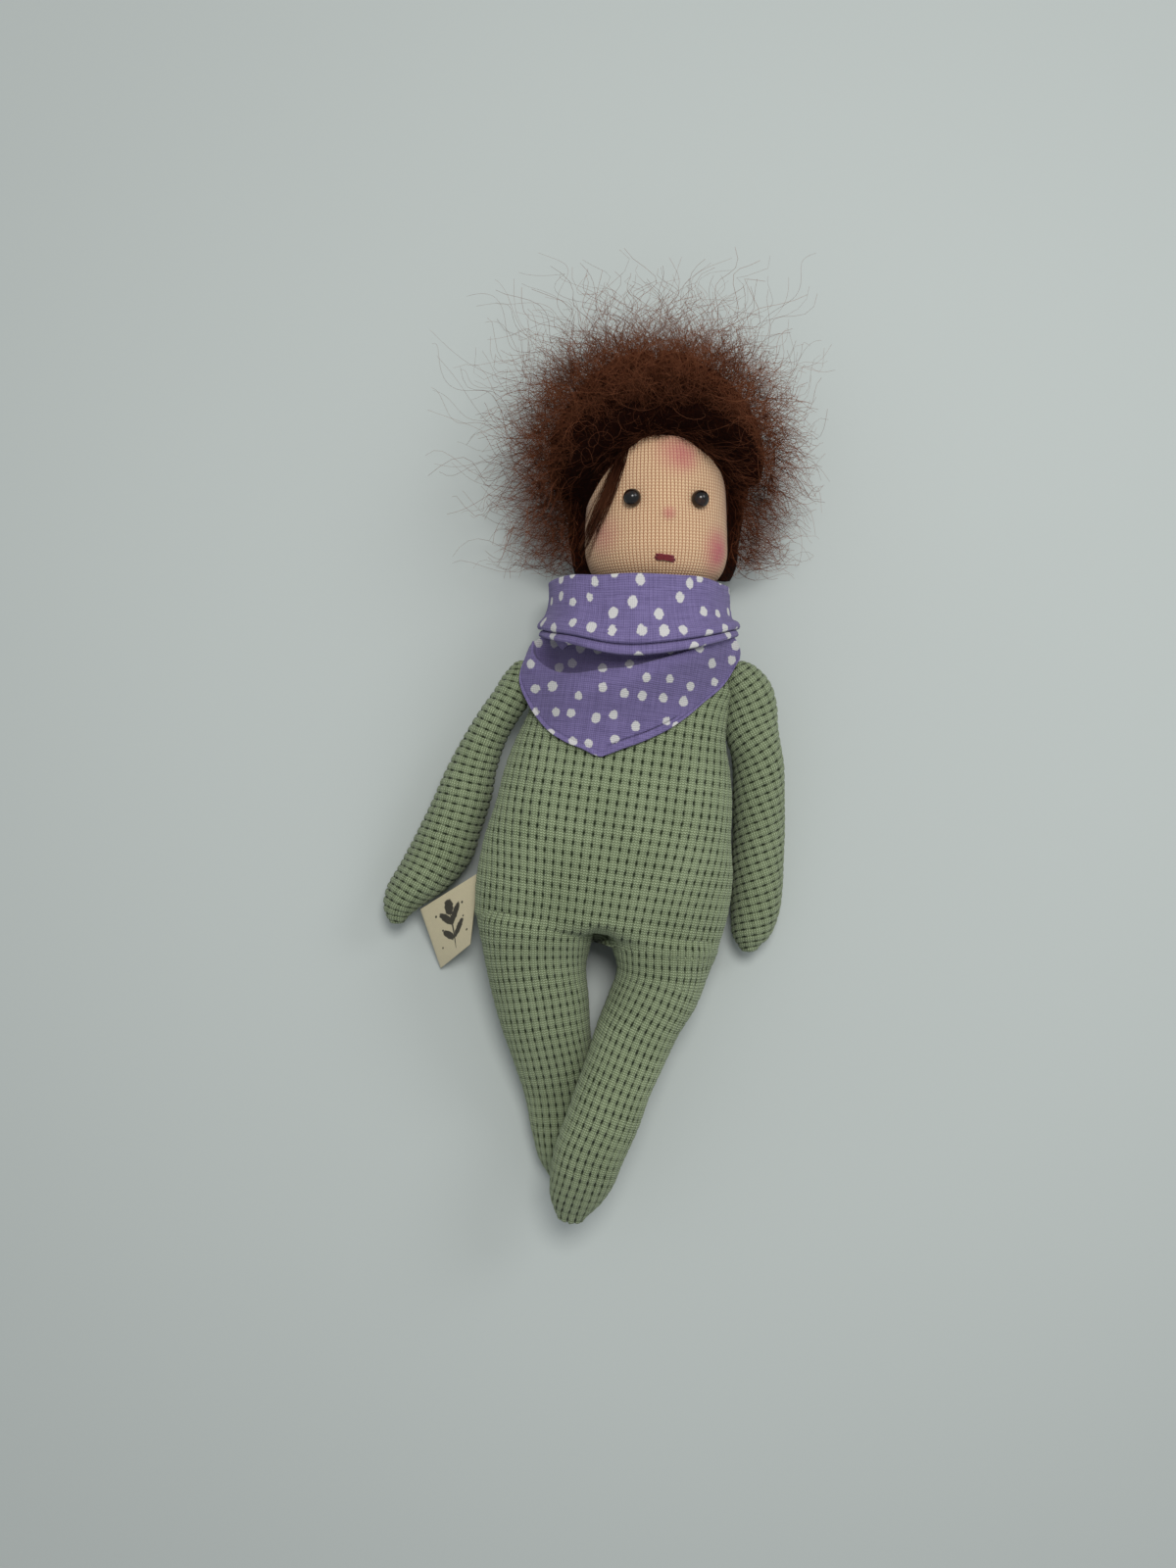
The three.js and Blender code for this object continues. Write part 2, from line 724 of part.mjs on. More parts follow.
function wrapSolid() {
  const points = [];
  const faces = [];
  const count = wrapShares.length;
  for (let i = 0; i < wrapSegments; i++) {
    wrapShares.forEach((share) => points.push(wrapPoint((2 * Math.PI * i) / wrapSegments, share)));
  }
  for (let i = 0; i < wrapSegments; i++) {
    for (let j = 0; j < count; j++) {
      const a = i * count + j;
      const b = i * count + ((j + 1) % count);
      const c = ((i + 1) % wrapSegments) * count;
      faces.push([a, b, c + ((j + 1) % count)], [a, c + ((j + 1) % count), c + j]);
    }
  }
  return solidOf(closedGeometry(points, faces));
}

function shareAt(table, s, column) {
  const i = Math.max(1, table.findIndex(([at]) => at >= s - 1e-9));
  const a = table[i - 1];
  const b = table[i];
  return a[column] + ((b[column] - a[column]) * (s - a[0])) / (b[0] - a[0]);
}

// The front of the torso under a point of the plan
function torsoFront(x, y) {
  const dx = x - hipX;
  const dy = y - hipY;
  const u = dx * Math.cos(spineLean) - dy * Math.sin(spineLean);
  const v = dx * Math.sin(spineLean) + dy * Math.cos(spineLean);
  const along = Math.min(Math.max(v / torsoLength, 0), 1);
  const [width, depth, aside, lifted] = [1, 2, 3, 4].map((c) => shareAt(torsoShares, along, c));
  const side = Math.min(Math.abs(u - aside * torsoWidth) / ((width * torsoWidth) / 2), edgeShare);
  const rise = (1 - side ** clothPower) ** (1 / clothPower);
  return (depth / 2 + lifted) * torsoDepth - restCut + ((depth * torsoDepth) / 2) * rise;
}

function drapePoint(s, t, lift) {
  const top = wrapPoint(s * drapeTurn, [0.1, 0.4]);
  const hemX = wrapX + shareAt(hemShares, s, 1) * drapeWidth;
  const hemY = drapeTop + shareAt(hemShares, s, 2) * drapeLength;
  const hemZ = torsoFront(hemX, hemY) + drapeLift;
  const x = THREE.MathUtils.lerp(top.x, hemX, t);
  const y = THREE.MathUtils.lerp(top.y, hemY, t);
  const sagged = 1 - (1 - t) ** 1.6;
  const ridge = foldHeight * Math.sin(Math.PI * Math.min(2.2 * t, 1)) * (1 - 0.7 * Math.abs(s));
  const z = THREE.MathUtils.lerp(top.z, hemZ, sagged) + ridge * 0.6;
  return new THREE.Vector3(x, y, Math.max(z, torsoFront(x, y) + drapeLift) + lift);
}

function drapeSolid() {
  const rings = [];
  for (let i = 0; i <= drapeColumns; i++) {
    const s = -1 + (2 * i) / drapeColumns;
    const ring = [];
    for (let j = 0; j <= drapeRows; j++) ring.push(drapePoint(s, j / drapeRows, clothFold));
    for (let j = drapeRows; j >= 0; j--) ring.push(drapePoint(s, j / drapeRows, 0));
    rings.push(ring);
  }
  return solidOf(sheetSurface(rings));
}

// The arms swing up beside the scarf, so its corners end before them
function armSwing(side, x, y) {
  const face = side * (armFaceGap + fitGap);
  const out = side * reach;
  const from = x - face;
  const to = x + out;
  return box(Math.min(from, to), Math.max(from, to), -reach, y + armFaceGap + fitGap, -reach, reach);
}

function makeScarf(group) {
  const cloth = wrapSolid()
    .add(drapeSolid())
    .subtract(armSwing(-1, leftShoulderX, leftShoulderY))
    .subtract(armSwing(1, rightShoulderX, rightShoulderY));
  add(group, "scarf", cloth.simplify(sliverLimit), "scarf");
  const knot = new THREE.SphereGeometry(1, 16, 10);
  knot.scale(knotWidth / 2, knotHeight / 2, knotDepth / 2);
  const tails = [-1, 1].map((side) => {
    const tail = new THREE.BoxGeometry(knotWidth * 0.8, knotHeight * 0.5, knotDepth * 0.35);
    tail.translate(side * knotWidth * 0.6, 0, 0).rotateZ(side * -0.4);
    return solidOf(tail);
  });
  const tied = solidOf(knot).add(tails[0]).add(tails[1]);
  add(group, "scarf_knot", tied.translate([wrapX + faceMiddle, knotY, knotDepth / 2 + fitGap]), "scarf");
}

// Label: two tape layers joined at the fold, swinging on the seam line
function labelSolid(origin) {
  const corner = (inward, down, rise) => {
    const seam = new THREE.Vector3().lerpVectors(labelTop, labelBottom, down);
    const fold = new THREE.Vector3().lerpVectors(labelFoldTop, labelFoldBottom, down);
    const p = new THREE.Vector3().lerpVectors(fold, seam, inward);
    return p.setZ(p.z + rise).sub(origin);
  };
  const top = tapeWall * 2 + tapeSlit;
  const steps = Array.from({ length: tapeCells + 1 }, (_, i) => i / tapeCells);
  const rings = steps.map((down) => {
    const layer = (edge, rise) => steps.map((s) => corner(edge + (1 - edge) * s, down, rise));
    const outer = [...layer(0, -top).toReversed(), ...layer(0, 0)];
    const inner = [...layer(foldShare, tapeWall - top).toReversed(), ...layer(foldShare, -tapeWall)];
    return [...outer, ...inner.toReversed()];
  });
  return solidOf(sheetSurface(rings));
}

// The doll
const doll = new THREE.Group();
doll.name = "doll";
const torso = joint(doll, "torso", 0, 0, 0);
makeTorso(torso);
makeScarf(torso);

const neck = joint(torso, "neck", neckX, nodY, neckZ);
makeNeck(neck);
const head = joint(neck, "head", 0, 0, 0);
makeHead(head);

const hips = joint(torso, "hips", hipX, hipY, foldZ);
hips.rotation.z = -spineLean;
makeHips(hips);
const leftLeg = joint(hips, "left_leg", leftSpreadX, 0, 0);
makeLeg(leftLeg, "left", leftLegShares, legLength, leftLegX, leftSpreadX);
const rightHip = joint(hips, "right_hip", rightSpreadX, 0, 0);
const rightStitch = hipStitch(-hipStitchInset).translate([0, 0, -foldZ]);
add(rightHip, "right_hip_stitch", rightStitch, "thread");
const rightLeg = joint(rightHip, "right_leg", 0, 0, 0);
makeLeg(rightLeg, "right", rightLegShares, upperLegLength, rightLegX, rightSpreadX);

const leftShoulder = joint(torso, "left_shoulder", leftShoulderX, leftShoulderY, shoulderZ);
makeShoulderThread(leftShoulder, "left");
const leftArm = joint(leftShoulder, "left_arm", 0, 0, 0);
makeArm(leftArm, "left", leftArmShares, armLength);
const rightShoulder = joint(torso, "right_shoulder", rightShoulderX, rightShoulderY, shoulderZ);
makeShoulderThread(rightShoulder, "right");
const rightArm = joint(rightShoulder, "right_arm", 0, 0, 0);
makeArm(rightArm, "right", rightArmShares, rightArmLength);

const label = joint(torso, "label", labelTop.x, labelTop.y, labelTop.z);
add(label, "side_label", labelSolid(labelTop), "tape");

// The origin lies on the floor under the middle of the doll's outline
doll.updateMatrixWorld(true);
const outline = new THREE.Box3().setFromObject(doll, true);
const middle = outline.getCenter(new THREE.Vector3());
torso.position.set(-middle.x, -middle.y, -outline.min.z);

export default doll;
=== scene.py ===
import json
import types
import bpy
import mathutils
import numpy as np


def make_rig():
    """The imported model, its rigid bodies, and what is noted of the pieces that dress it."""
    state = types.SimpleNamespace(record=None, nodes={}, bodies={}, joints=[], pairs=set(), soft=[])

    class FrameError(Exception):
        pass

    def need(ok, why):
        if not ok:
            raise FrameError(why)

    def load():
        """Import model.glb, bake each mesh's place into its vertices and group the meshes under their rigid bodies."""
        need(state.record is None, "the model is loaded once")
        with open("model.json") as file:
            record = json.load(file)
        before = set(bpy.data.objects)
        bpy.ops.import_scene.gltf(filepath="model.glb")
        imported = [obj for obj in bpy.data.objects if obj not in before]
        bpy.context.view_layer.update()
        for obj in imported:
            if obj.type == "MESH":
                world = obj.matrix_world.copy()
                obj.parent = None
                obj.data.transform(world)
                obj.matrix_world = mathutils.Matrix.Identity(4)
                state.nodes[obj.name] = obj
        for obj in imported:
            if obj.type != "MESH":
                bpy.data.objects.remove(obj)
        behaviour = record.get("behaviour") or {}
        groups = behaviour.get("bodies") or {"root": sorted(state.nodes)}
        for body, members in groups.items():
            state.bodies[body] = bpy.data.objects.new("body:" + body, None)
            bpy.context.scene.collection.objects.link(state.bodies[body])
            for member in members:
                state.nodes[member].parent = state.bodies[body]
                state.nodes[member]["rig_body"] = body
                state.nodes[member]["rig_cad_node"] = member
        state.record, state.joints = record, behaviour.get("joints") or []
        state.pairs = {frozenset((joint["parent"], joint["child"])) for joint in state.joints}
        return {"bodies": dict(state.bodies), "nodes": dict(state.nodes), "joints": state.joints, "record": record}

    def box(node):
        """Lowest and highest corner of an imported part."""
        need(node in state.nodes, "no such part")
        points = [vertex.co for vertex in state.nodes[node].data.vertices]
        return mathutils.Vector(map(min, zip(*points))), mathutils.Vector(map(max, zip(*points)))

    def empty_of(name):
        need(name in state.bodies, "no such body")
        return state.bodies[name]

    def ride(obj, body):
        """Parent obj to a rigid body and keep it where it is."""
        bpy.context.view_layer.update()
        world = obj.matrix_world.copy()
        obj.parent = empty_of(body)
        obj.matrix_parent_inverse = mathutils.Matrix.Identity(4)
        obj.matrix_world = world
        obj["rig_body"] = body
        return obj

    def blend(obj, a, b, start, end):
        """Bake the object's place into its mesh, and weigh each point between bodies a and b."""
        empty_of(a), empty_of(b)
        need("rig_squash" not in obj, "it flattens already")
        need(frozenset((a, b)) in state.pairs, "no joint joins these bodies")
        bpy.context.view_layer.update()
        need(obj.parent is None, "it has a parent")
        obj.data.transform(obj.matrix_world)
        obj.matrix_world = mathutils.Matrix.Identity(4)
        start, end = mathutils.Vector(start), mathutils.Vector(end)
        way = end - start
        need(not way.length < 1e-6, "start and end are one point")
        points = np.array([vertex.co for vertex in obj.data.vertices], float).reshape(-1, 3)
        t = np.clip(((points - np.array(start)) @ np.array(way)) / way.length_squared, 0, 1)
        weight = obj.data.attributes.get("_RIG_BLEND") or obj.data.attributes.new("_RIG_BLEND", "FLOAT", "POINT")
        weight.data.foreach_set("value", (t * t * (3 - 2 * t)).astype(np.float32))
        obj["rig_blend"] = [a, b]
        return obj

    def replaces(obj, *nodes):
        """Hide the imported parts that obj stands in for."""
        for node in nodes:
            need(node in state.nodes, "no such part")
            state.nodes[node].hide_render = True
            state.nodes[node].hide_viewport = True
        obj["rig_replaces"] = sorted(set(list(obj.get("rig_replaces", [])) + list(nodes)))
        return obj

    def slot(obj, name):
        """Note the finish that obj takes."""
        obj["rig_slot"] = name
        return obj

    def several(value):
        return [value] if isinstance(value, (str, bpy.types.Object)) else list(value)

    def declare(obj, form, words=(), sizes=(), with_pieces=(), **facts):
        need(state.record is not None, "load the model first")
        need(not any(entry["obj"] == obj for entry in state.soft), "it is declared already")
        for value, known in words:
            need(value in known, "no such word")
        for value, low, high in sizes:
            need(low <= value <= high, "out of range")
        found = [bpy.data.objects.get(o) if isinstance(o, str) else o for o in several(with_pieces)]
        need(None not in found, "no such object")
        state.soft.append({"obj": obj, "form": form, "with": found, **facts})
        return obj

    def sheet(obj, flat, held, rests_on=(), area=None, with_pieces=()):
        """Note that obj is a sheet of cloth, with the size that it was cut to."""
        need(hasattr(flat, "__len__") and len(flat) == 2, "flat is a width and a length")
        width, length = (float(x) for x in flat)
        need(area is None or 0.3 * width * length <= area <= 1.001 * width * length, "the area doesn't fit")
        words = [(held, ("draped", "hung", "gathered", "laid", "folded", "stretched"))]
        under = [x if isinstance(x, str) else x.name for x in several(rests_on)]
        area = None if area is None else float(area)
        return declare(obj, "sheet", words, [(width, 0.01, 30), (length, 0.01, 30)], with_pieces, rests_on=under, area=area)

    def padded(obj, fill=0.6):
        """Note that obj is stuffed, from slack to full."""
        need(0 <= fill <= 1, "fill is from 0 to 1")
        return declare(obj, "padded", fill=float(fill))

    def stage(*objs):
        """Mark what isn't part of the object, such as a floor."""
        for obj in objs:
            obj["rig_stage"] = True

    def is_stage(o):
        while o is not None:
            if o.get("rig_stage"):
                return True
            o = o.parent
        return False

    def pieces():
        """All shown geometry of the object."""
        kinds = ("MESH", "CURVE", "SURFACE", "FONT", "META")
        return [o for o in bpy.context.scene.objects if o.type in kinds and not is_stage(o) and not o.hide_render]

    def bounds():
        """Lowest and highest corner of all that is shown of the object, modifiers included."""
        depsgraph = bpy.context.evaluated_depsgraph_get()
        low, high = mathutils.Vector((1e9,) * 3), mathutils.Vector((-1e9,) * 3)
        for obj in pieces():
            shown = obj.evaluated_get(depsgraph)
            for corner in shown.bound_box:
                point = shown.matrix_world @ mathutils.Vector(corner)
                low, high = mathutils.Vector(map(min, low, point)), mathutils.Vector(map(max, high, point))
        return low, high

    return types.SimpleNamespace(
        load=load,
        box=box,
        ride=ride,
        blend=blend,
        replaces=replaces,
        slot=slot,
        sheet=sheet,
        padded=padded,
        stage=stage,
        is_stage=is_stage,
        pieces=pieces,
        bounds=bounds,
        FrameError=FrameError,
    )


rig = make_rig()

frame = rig.load()

import json
import math
import bpy
import numpy as np
from mathutils import Vector

# A soft cloth doll on its back. Lengths below are millimetres, meshes are metres.
# "plan" is the part's layout frame: +Y to the head, +X to the right, +Z up from the floor.

mm = 0.001
cadBox = [list(corner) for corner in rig.bounds()]
joints = {j["name"]: j for j in frame["joints"]}
spine = {"lean": math.radians(8.5), "hipX": 1.6, "hipY": -60.5}  # the body leans over from the hips
hipRow = joints["sit_fold"]["pos_m"]
shift = np.array([hipRow[0] / mm - spine["hipX"], hipRow[1] / mm - spine["hipY"], 0.0])
print("frame loaded, shift from plan to row frame", shift.round(3))


# Each column of a table read smoothly at t by its first column: cubic curves with mean slopes.
def rowsAt(table, t):
    table = np.asarray(table, float)
    x, y = table[:, 0], table[:, 1:]
    t = np.clip(np.asarray(t, float), x[0], x[-1])
    i = np.clip(np.searchsorted(x, t, side="right") - 1, 0, len(x) - 2)
    h = (x[i + 1] - x[i])[..., None]
    slope = np.gradient(y, x, axis=0)
    f = (t - x[i])[..., None] / h
    a, b, ma, mb = y[i], y[i + 1], slope[i] * h, slope[i + 1] * h
    return (a * (1 + 2 * f) * (1 - f) ** 2 + ma * f * (1 - f) ** 2
            + b * f ** 2 * (3 - 2 * f) + mb * f ** 2 * (f - 1))


# 0 below low, 1 above high, and an S curve between.
def ease(low, high, x):
    t = np.clip((x - low) / (high - low), 0, 1)
    return t * t * (3 - 2 * t)


# A soft random field: the mean of a few sine waves of about one wavelength, in seeded directions.
def waves(p, size, count=5, salt=0):
    r = np.random.default_rng(100 + salt)
    total = np.zeros(p.shape[:-1])
    for _ in range(count):
        k = r.normal(size=p.shape[-1])
        k *= 2 * math.pi / (size * r.uniform(0.7, 1.5)) / np.linalg.norm(k)
        total += np.sin(p @ k + r.uniform(0, 6.28))
    return total / count


# A point of the leaning body (across, along the spine, up) in the plan frame.
def spineToPlan(u, v, z):
    c, s = math.cos(spine["lean"]), math.sin(spine["lean"])
    return np.stack([spine["hipX"] + u * c + v * s, spine["hipY"] - u * s + v * c, z + 0 * u], -1)


# A plan point in mm as a row-frame point in metres.
def rowPoint(p):
    return tuple(float(c) for c in (np.asarray(p) + shift) * mm)


# Quads of a grid of points.
def gridFaces(rows, columns):
    corner = np.arange(rows - 1)[:, None] * columns + np.arange(columns - 1)[None, :]
    return np.stack([corner, corner + 1, corner + columns + 1, corner + columns], -1).reshape(-1, 4)


# Faces turned round where the closed surface's volume comes out negative.
def facesOutward(points, faces):
    p = points.reshape(-1, 3)
    total = 0.0
    for f in faces:
        for k in range(1, f.shape[1] - 1):
            a, b, c = p[f[:, 0]], p[f[:, k]], p[f[:, k + 1]]
            total += np.einsum("ij,ij->i", a, np.cross(b, c)).sum()
    return [f[:, ::-1] for f in faces] if total < 0 else faces


# A piece from plan-frame points in mm. uv is one pair per point, fields one number per point.
def makeMesh(name, points, faces, material, uv=None, fields=None):
    mesh = bpy.data.meshes.new(name)
    world = ((points.reshape(-1, 3) + shift) * mm).astype(np.float32)
    sizes = np.concatenate([np.full(len(f), f.shape[1]) for f in faces])
    loops = np.concatenate([f.ravel() for f in faces])
    mesh.vertices.add(len(world))
    mesh.vertices.foreach_set("co", world.ravel())
    mesh.loops.add(len(loops))
    mesh.loops.foreach_set("vertex_index", loops.astype(np.int32))
    mesh.polygons.add(len(sizes))
    mesh.polygons.foreach_set("loop_start", (np.cumsum(sizes) - sizes).astype(np.int32))
    mesh.polygons.foreach_set("loop_total", sizes.astype(np.int32))
    mesh.update()
    mesh.polygons.foreach_set("use_smooth", np.full(len(sizes), True))
    if uv is not None:
        layer = mesh.uv_layers.new(name="cells")
        layer.data.foreach_set("uv", uv.reshape(-1, 2)[loops].astype(np.float32).ravel())
    for key, values in (fields or {}).items():
        field = mesh.attributes.new(key, "FLOAT", "POINT")
        field.data.foreach_set("value", values.ravel().astype(np.float32))
    mesh.validate()
    mesh.materials.append(material)
    piece = bpy.data.objects.new(name, mesh)
    bpy.context.scene.collection.objects.link(piece)
    return piece


# Vectors at length one; those of no length stay as they are.
def unit(vectors):
    return vectors / np.maximum(np.linalg.norm(vectors, axis=-1, keepdims=True), 1e-9)


# Distance run along a line of points, from 0 at its first.
def runAlong(line):
    return np.concatenate([[0], np.cumsum(np.linalg.norm(np.diff(line, axis=0), axis=1))])


# A wall of a thickness in mm on both sides of a sheet.
def thicken(piece, wall):
    thick = piece.modifiers.new("wall", "SOLIDIFY")
    thick.thickness, thick.offset = wall * mm, 0


# Unit normals of a grid of points: the cross product of its two directions.
def gridNormals(points, closed):
    along = np.gradient(points, axis=0)
    if closed:
        around = np.roll(points, -1, 1) - np.roll(points, 1, 1)
    else:
        around = np.gradient(points, axis=1)
    return unit(np.cross(around, along))


# Outward unit normals of a tube of rings whose last column repeats its first.
def tubeNormals(ring, middle):
    normal = gridNormals(ring, False)
    normal[:, 0] = normal[:, -1] = normal[:, 0] + normal[:, -1]
    normal = unit(normal)
    return normal * np.sign(np.einsum("ijk,ijk->ij", normal, ring - middle[:, None]).sum())


# Points and faces of a tube of rings, each end closed by a fan round an added middle point.
# The first column is repeated as the last, so that a UV map can end there without a smear.
def tubeParts(points, capped=True):
    rows, columns = points.shape[:2]
    faces = [gridFaces(rows, columns)]
    allPoints = [points.reshape(-1, 3)]
    for end, row in enumerate((0, rows - 1) if capped else ()):
        ring = row * columns + np.arange(columns - 1)
        middle = np.full(columns - 1, rows * columns + end)
        faces.append(np.stack([middle, ring, ring + 1] if end else [middle, ring + 1, ring], -1))
        allPoints.append(points[row].mean(0, keepdims=True))
    return np.concatenate(allPoints), faces


# A tube of rings as a piece, its faces turned outward.
def tubePiece(name, rings, material, uv=None, fields=None, capped=True):
    points, faces = tubeParts(rings, capped)
    return makeMesh(name, points, facesOutward(points, faces), material, uv=uv, fields=fields)


# A shader socket that adds a Math node whenever it is used in an expression.
class Socket:
    def __init__(self, tree, out):
        self.tree, self.out = tree, out

    def math(self, operation, other=None, swap=False):
        node = self.tree.nodes.new("ShaderNodeMath")
        node.operation = operation
        for slot, value in zip(node.inputs, [other, self] if swap else [self, other]):
            if isinstance(value, Socket):
                self.tree.links.new(value.out, slot)
            elif value is not None:
                slot.default_value = value
        return Socket(self.tree, node.outputs[0])

    def __add__(self, other): return self.math("ADD", other)
    def __radd__(self, other): return self.math("ADD", other)
    def __sub__(self, other): return self.math("SUBTRACT", other)
    def __rsub__(self, other): return self.math("SUBTRACT", other, True)
    def __mul__(self, other): return self.math("MULTIPLY", other)
    def __rmul__(self, other): return self.math("MULTIPLY", other)
    def __truediv__(self, other): return self.math("DIVIDE", other)
    def __mod__(self, other): return self.math("FLOORED_MODULO", other)
    def least(self, other): return self.math("MINIMUM", other)
    def most(self, other): return self.math("MAXIMUM", other)
    def size(self): return self.math("ABSOLUTE")
    def root(self): return self.math("SQRT")

    # 0 in the middle of each unit cell along the coordinate, 1 at its ends
    def ply(self): return (self % 1.0 - 0.5).size() * 2.0

    # 0 below low, 1 above high, an S curve between
    def ease(self, low, high):
        node = self.tree.nodes.new("ShaderNodeMapRange")
        node.interpolation_type = "SMOOTHSTEP"
        self.tree.links.new(self.out, node.inputs["Value"])
        node.inputs["From Min"].default_value = low
        node.inputs["From Max"].default_value = high
        return Socket(self.tree, node.outputs["Result"])


# A colour with its light scaled.
def scaled(colour, share):
    return tuple(c * share for c in colour)


# An sRGB colour of 0 to 255 as linear light.
def linear(r, g, b):
    c = np.array([r, g, b]) / 255
    return tuple(float(v) for v in np.where(c <= 0.04045, c / 12.92, ((c + 0.055) / 1.055) ** 2.4))


# A material with its Principled shader. node() makes every node but Math and Map Range.
class Finish:
    def __init__(self, name, **plain):
        self.material = bpy.data.materials.new(name)
        self.material.use_nodes = True
        self.tree = self.material.node_tree
        self.shader = next(n for n in self.tree.nodes if n.type == "BSDF_PRINCIPLED")
        for key, value in plain.items():
            self.put(self.shader.inputs[key.replace("_", " ")], value)

    def put(self, slot, value):
        if isinstance(value, Socket):
            self.tree.links.new(value.out, slot)
        elif isinstance(value, tuple) and len(slot.default_value) == 4:
            slot.default_value = (*value, 1)
        else:
            slot.default_value = value

    def node(self, kind, out=0, settings=(), **values):
        made = self.tree.nodes.new(kind)
        for key, value in dict(settings).items():
            setattr(made, key, value)
        for key, value in values.items():
            slot = int(key[1:]) if key[1:].isdigit() else key.replace("_", " ")
            self.put(made.inputs[slot], value)
        return Socket(self.tree, made.outputs[out])

    # Object coordinates in row-frame millimetres
    def place(self):
        at = self.node("ShaderNodeTexCoord", out="Object")
        return self.node("ShaderNodeVectorMath", settings={"operation": "SCALE"},
                         _0=at, Scale=1 / mm)

    # The piece's own UV map as two sockets: across, and along
    def cells(self):
        uv = self.node("ShaderNodeUVMap", settings={"uv_map": "cells"})
        return self.split(uv)[:2]

    def split(self, vector):
        node = self.tree.nodes.new("ShaderNodeSeparateXYZ")
        self.tree.links.new(vector.out, node.inputs[0])
        return [Socket(self.tree, o) for o in node.outputs]

    def join(self, x, y, z=0.0):
        return self.node("ShaderNodeCombineXYZ", X=x, Y=y, Z=z)

    def field(self, name):
        return self.node("ShaderNodeAttribute", out="Fac", settings={"attribute_name": name})

    def noise(self, at, scale, detail=2.0, rough=0.5):
        return self.node("ShaderNodeTexNoise", Vector=at, Scale=scale, Detail=detail,
                         Roughness=rough)

    # 1 at a point of the row frame in mm, easing to 0 at the radius
    def spot(self, at, centre, radius, soft=0.9):
        away = self.node("ShaderNodeVectorMath", out="Value", settings={"operation": "DISTANCE"},
                         _0=at, _1=tuple(centre))
        return 1 - away.ease(radius * (1 - soft), radius)

    # Colour a turns to colour b by factor
    def mix(self, factor, a, b):
        return self.node("ShaderNodeMix", out=2, settings={"data_type": "RGBA"},
                         _0=factor, _6=a, _7=b)

    # The base colour, and a bump of height times depth in mm
    def finish(self, colour, height=None, depth=0.3, strength=1.0):
        self.put(self.shader.inputs["Base Color"], colour)
        if height is not None:
            bump = self.node("ShaderNodeBump", Height=height, Distance=depth * mm,
                             Strength=strength)
            self.put(self.shader.inputs["Normal"], bump)
        return self.material


# Waffle knit: sage cotton cells, each of three wales, with slits between the columns, sunk in the relief and painted
# dark as shade.
waffle = {
    "cellHeight": 3.75,                            # one row of cells along the wales
    "pillow": 0.34, "slit": 0.66, "rowLine": 0.09,  # relief
    "floor": 0.1,                                  # the lowest the cloth goes
    # The last colour is painted shade for the slits and the lines between rows.
    "pale": (163, 175, 141), "mid": (118, 131, 95), "hole": (30, 40, 18),
}


# Height of the knit over its cell coordinates: rounded blocks, minus a slit between columns that
# opens at each row's end, minus a shallow line between rows.
def waffleRelief(across, down):
    a, r = across - np.floor(across), down - np.floor(down)
    nearSlit, nearRow = np.minimum(a, 1 - a), np.minimum(r, 1 - r)
    top = (1 - (2 * a - 1) ** 4) * (1 - 0.4 * (2 * r - 1) ** 6)
    opening = 0.4 + 0.6 * np.exp(-(nearRow / 0.22) ** 2)
    slit = np.exp(-(nearSlit / 0.12) ** 2) * opening
    line = np.exp(-(nearRow / 0.09) ** 2)
    return waffle["pillow"] * top - waffle["slit"] * slit - waffle["rowLine"] * line


def waffleFinish(name):
    f = Finish(name, Roughness=0.92, Sheen_Weight=0.12, Sheen_Roughness=0.5, Specular_IOR_Level=0.2)
    across, down = f.cells()
    at = f.place()
    across = across + (f.noise(at, 0.3) - 0.5) * 0.16
    down = down + (f.noise(at, 0.23) - 0.5) * 0.14
    a, r = across % 1.0, down % 1.0
    side = (a - 0.5).size()
    end = (r - 0.5).size()
    rowEnd = end.ease(0.1, 0.46)
    slit = side.ease(0.29, 0.46)
    # Painted shade in the slits, darkest where they open at each row's end.
    hole = slit * (rowEnd * 0.72 + 0.28) * (1 - f.field("calm"))
    wale = (a * 3.0).ply()
    stitch = (down * 4.4 + wale * 0.5).ply()
    yarn = stitch.ease(0.1, 0.95) * (1 - wale.ease(0.45, 1.0) * 0.75)
    fuzz = f.noise(at, 2.6, 4.0, 0.7)
    patch = f.noise(at, 0.05)
    tone = yarn * 0.95 + (fuzz - 0.5) * 0.9 + (patch - 0.5) * 0.4 + 0.12
    mid, pale, dark = (linear(*waffle[k]) for k in ("mid", "pale", "hole"))
    colour = f.mix(tone.ease(0.0, 1.1), scaled(mid, 0.66), pale)
    # Painted shade along the shallow line between rows.
    rowLine = rowEnd * rowEnd * (1 - slit) * 0.16
    colour = f.mix((hole * 1.05 + rowLine).least(1.0), colour, dark)
    return f.finish(colour, yarn * 0.6 + fuzz * 0.4 - hole * 0.9, 0.28, 0.8)


# Steps of equal surface length down a limb's table: its dense profile's own arc length, cut evenly.
def evenSteps(table, length, scale, pitch, start, stop):
    t = np.linspace(start, stop, 3000)
    row = rowsAt(table, t)
    move = np.hypot(np.diff(t) * length, np.diff(row[:, 1]) * scale / 2)
    run = np.concatenate([[0], np.cumsum(move)])
    count = int(run[-1] / pitch)
    return np.interp(np.linspace(0, run[-1], count), run, t)


# A closed round end for a table of shares: the last row shrinks along a quarter of an ellipse.
def withTip(table, reachShare):
    last = table[-1]
    turns = np.radians([30, 55, 73, 86])
    return table + [[last[0] + reachShare * math.sin(q), last[1], last[2] * math.cos(q),
                     last[3] * math.cos(q), last[4]] for q in turns]


# Superellipse offsets round a ring: cosine and sine, each scaled so |x|^p + |z|^p = 1.
def superRing(theta, power):
    c, s = np.cos(theta), np.sin(theta)
    size = (np.abs(c) ** power + np.abs(s) ** power) ** (-1 / power)
    return size * c, size * s


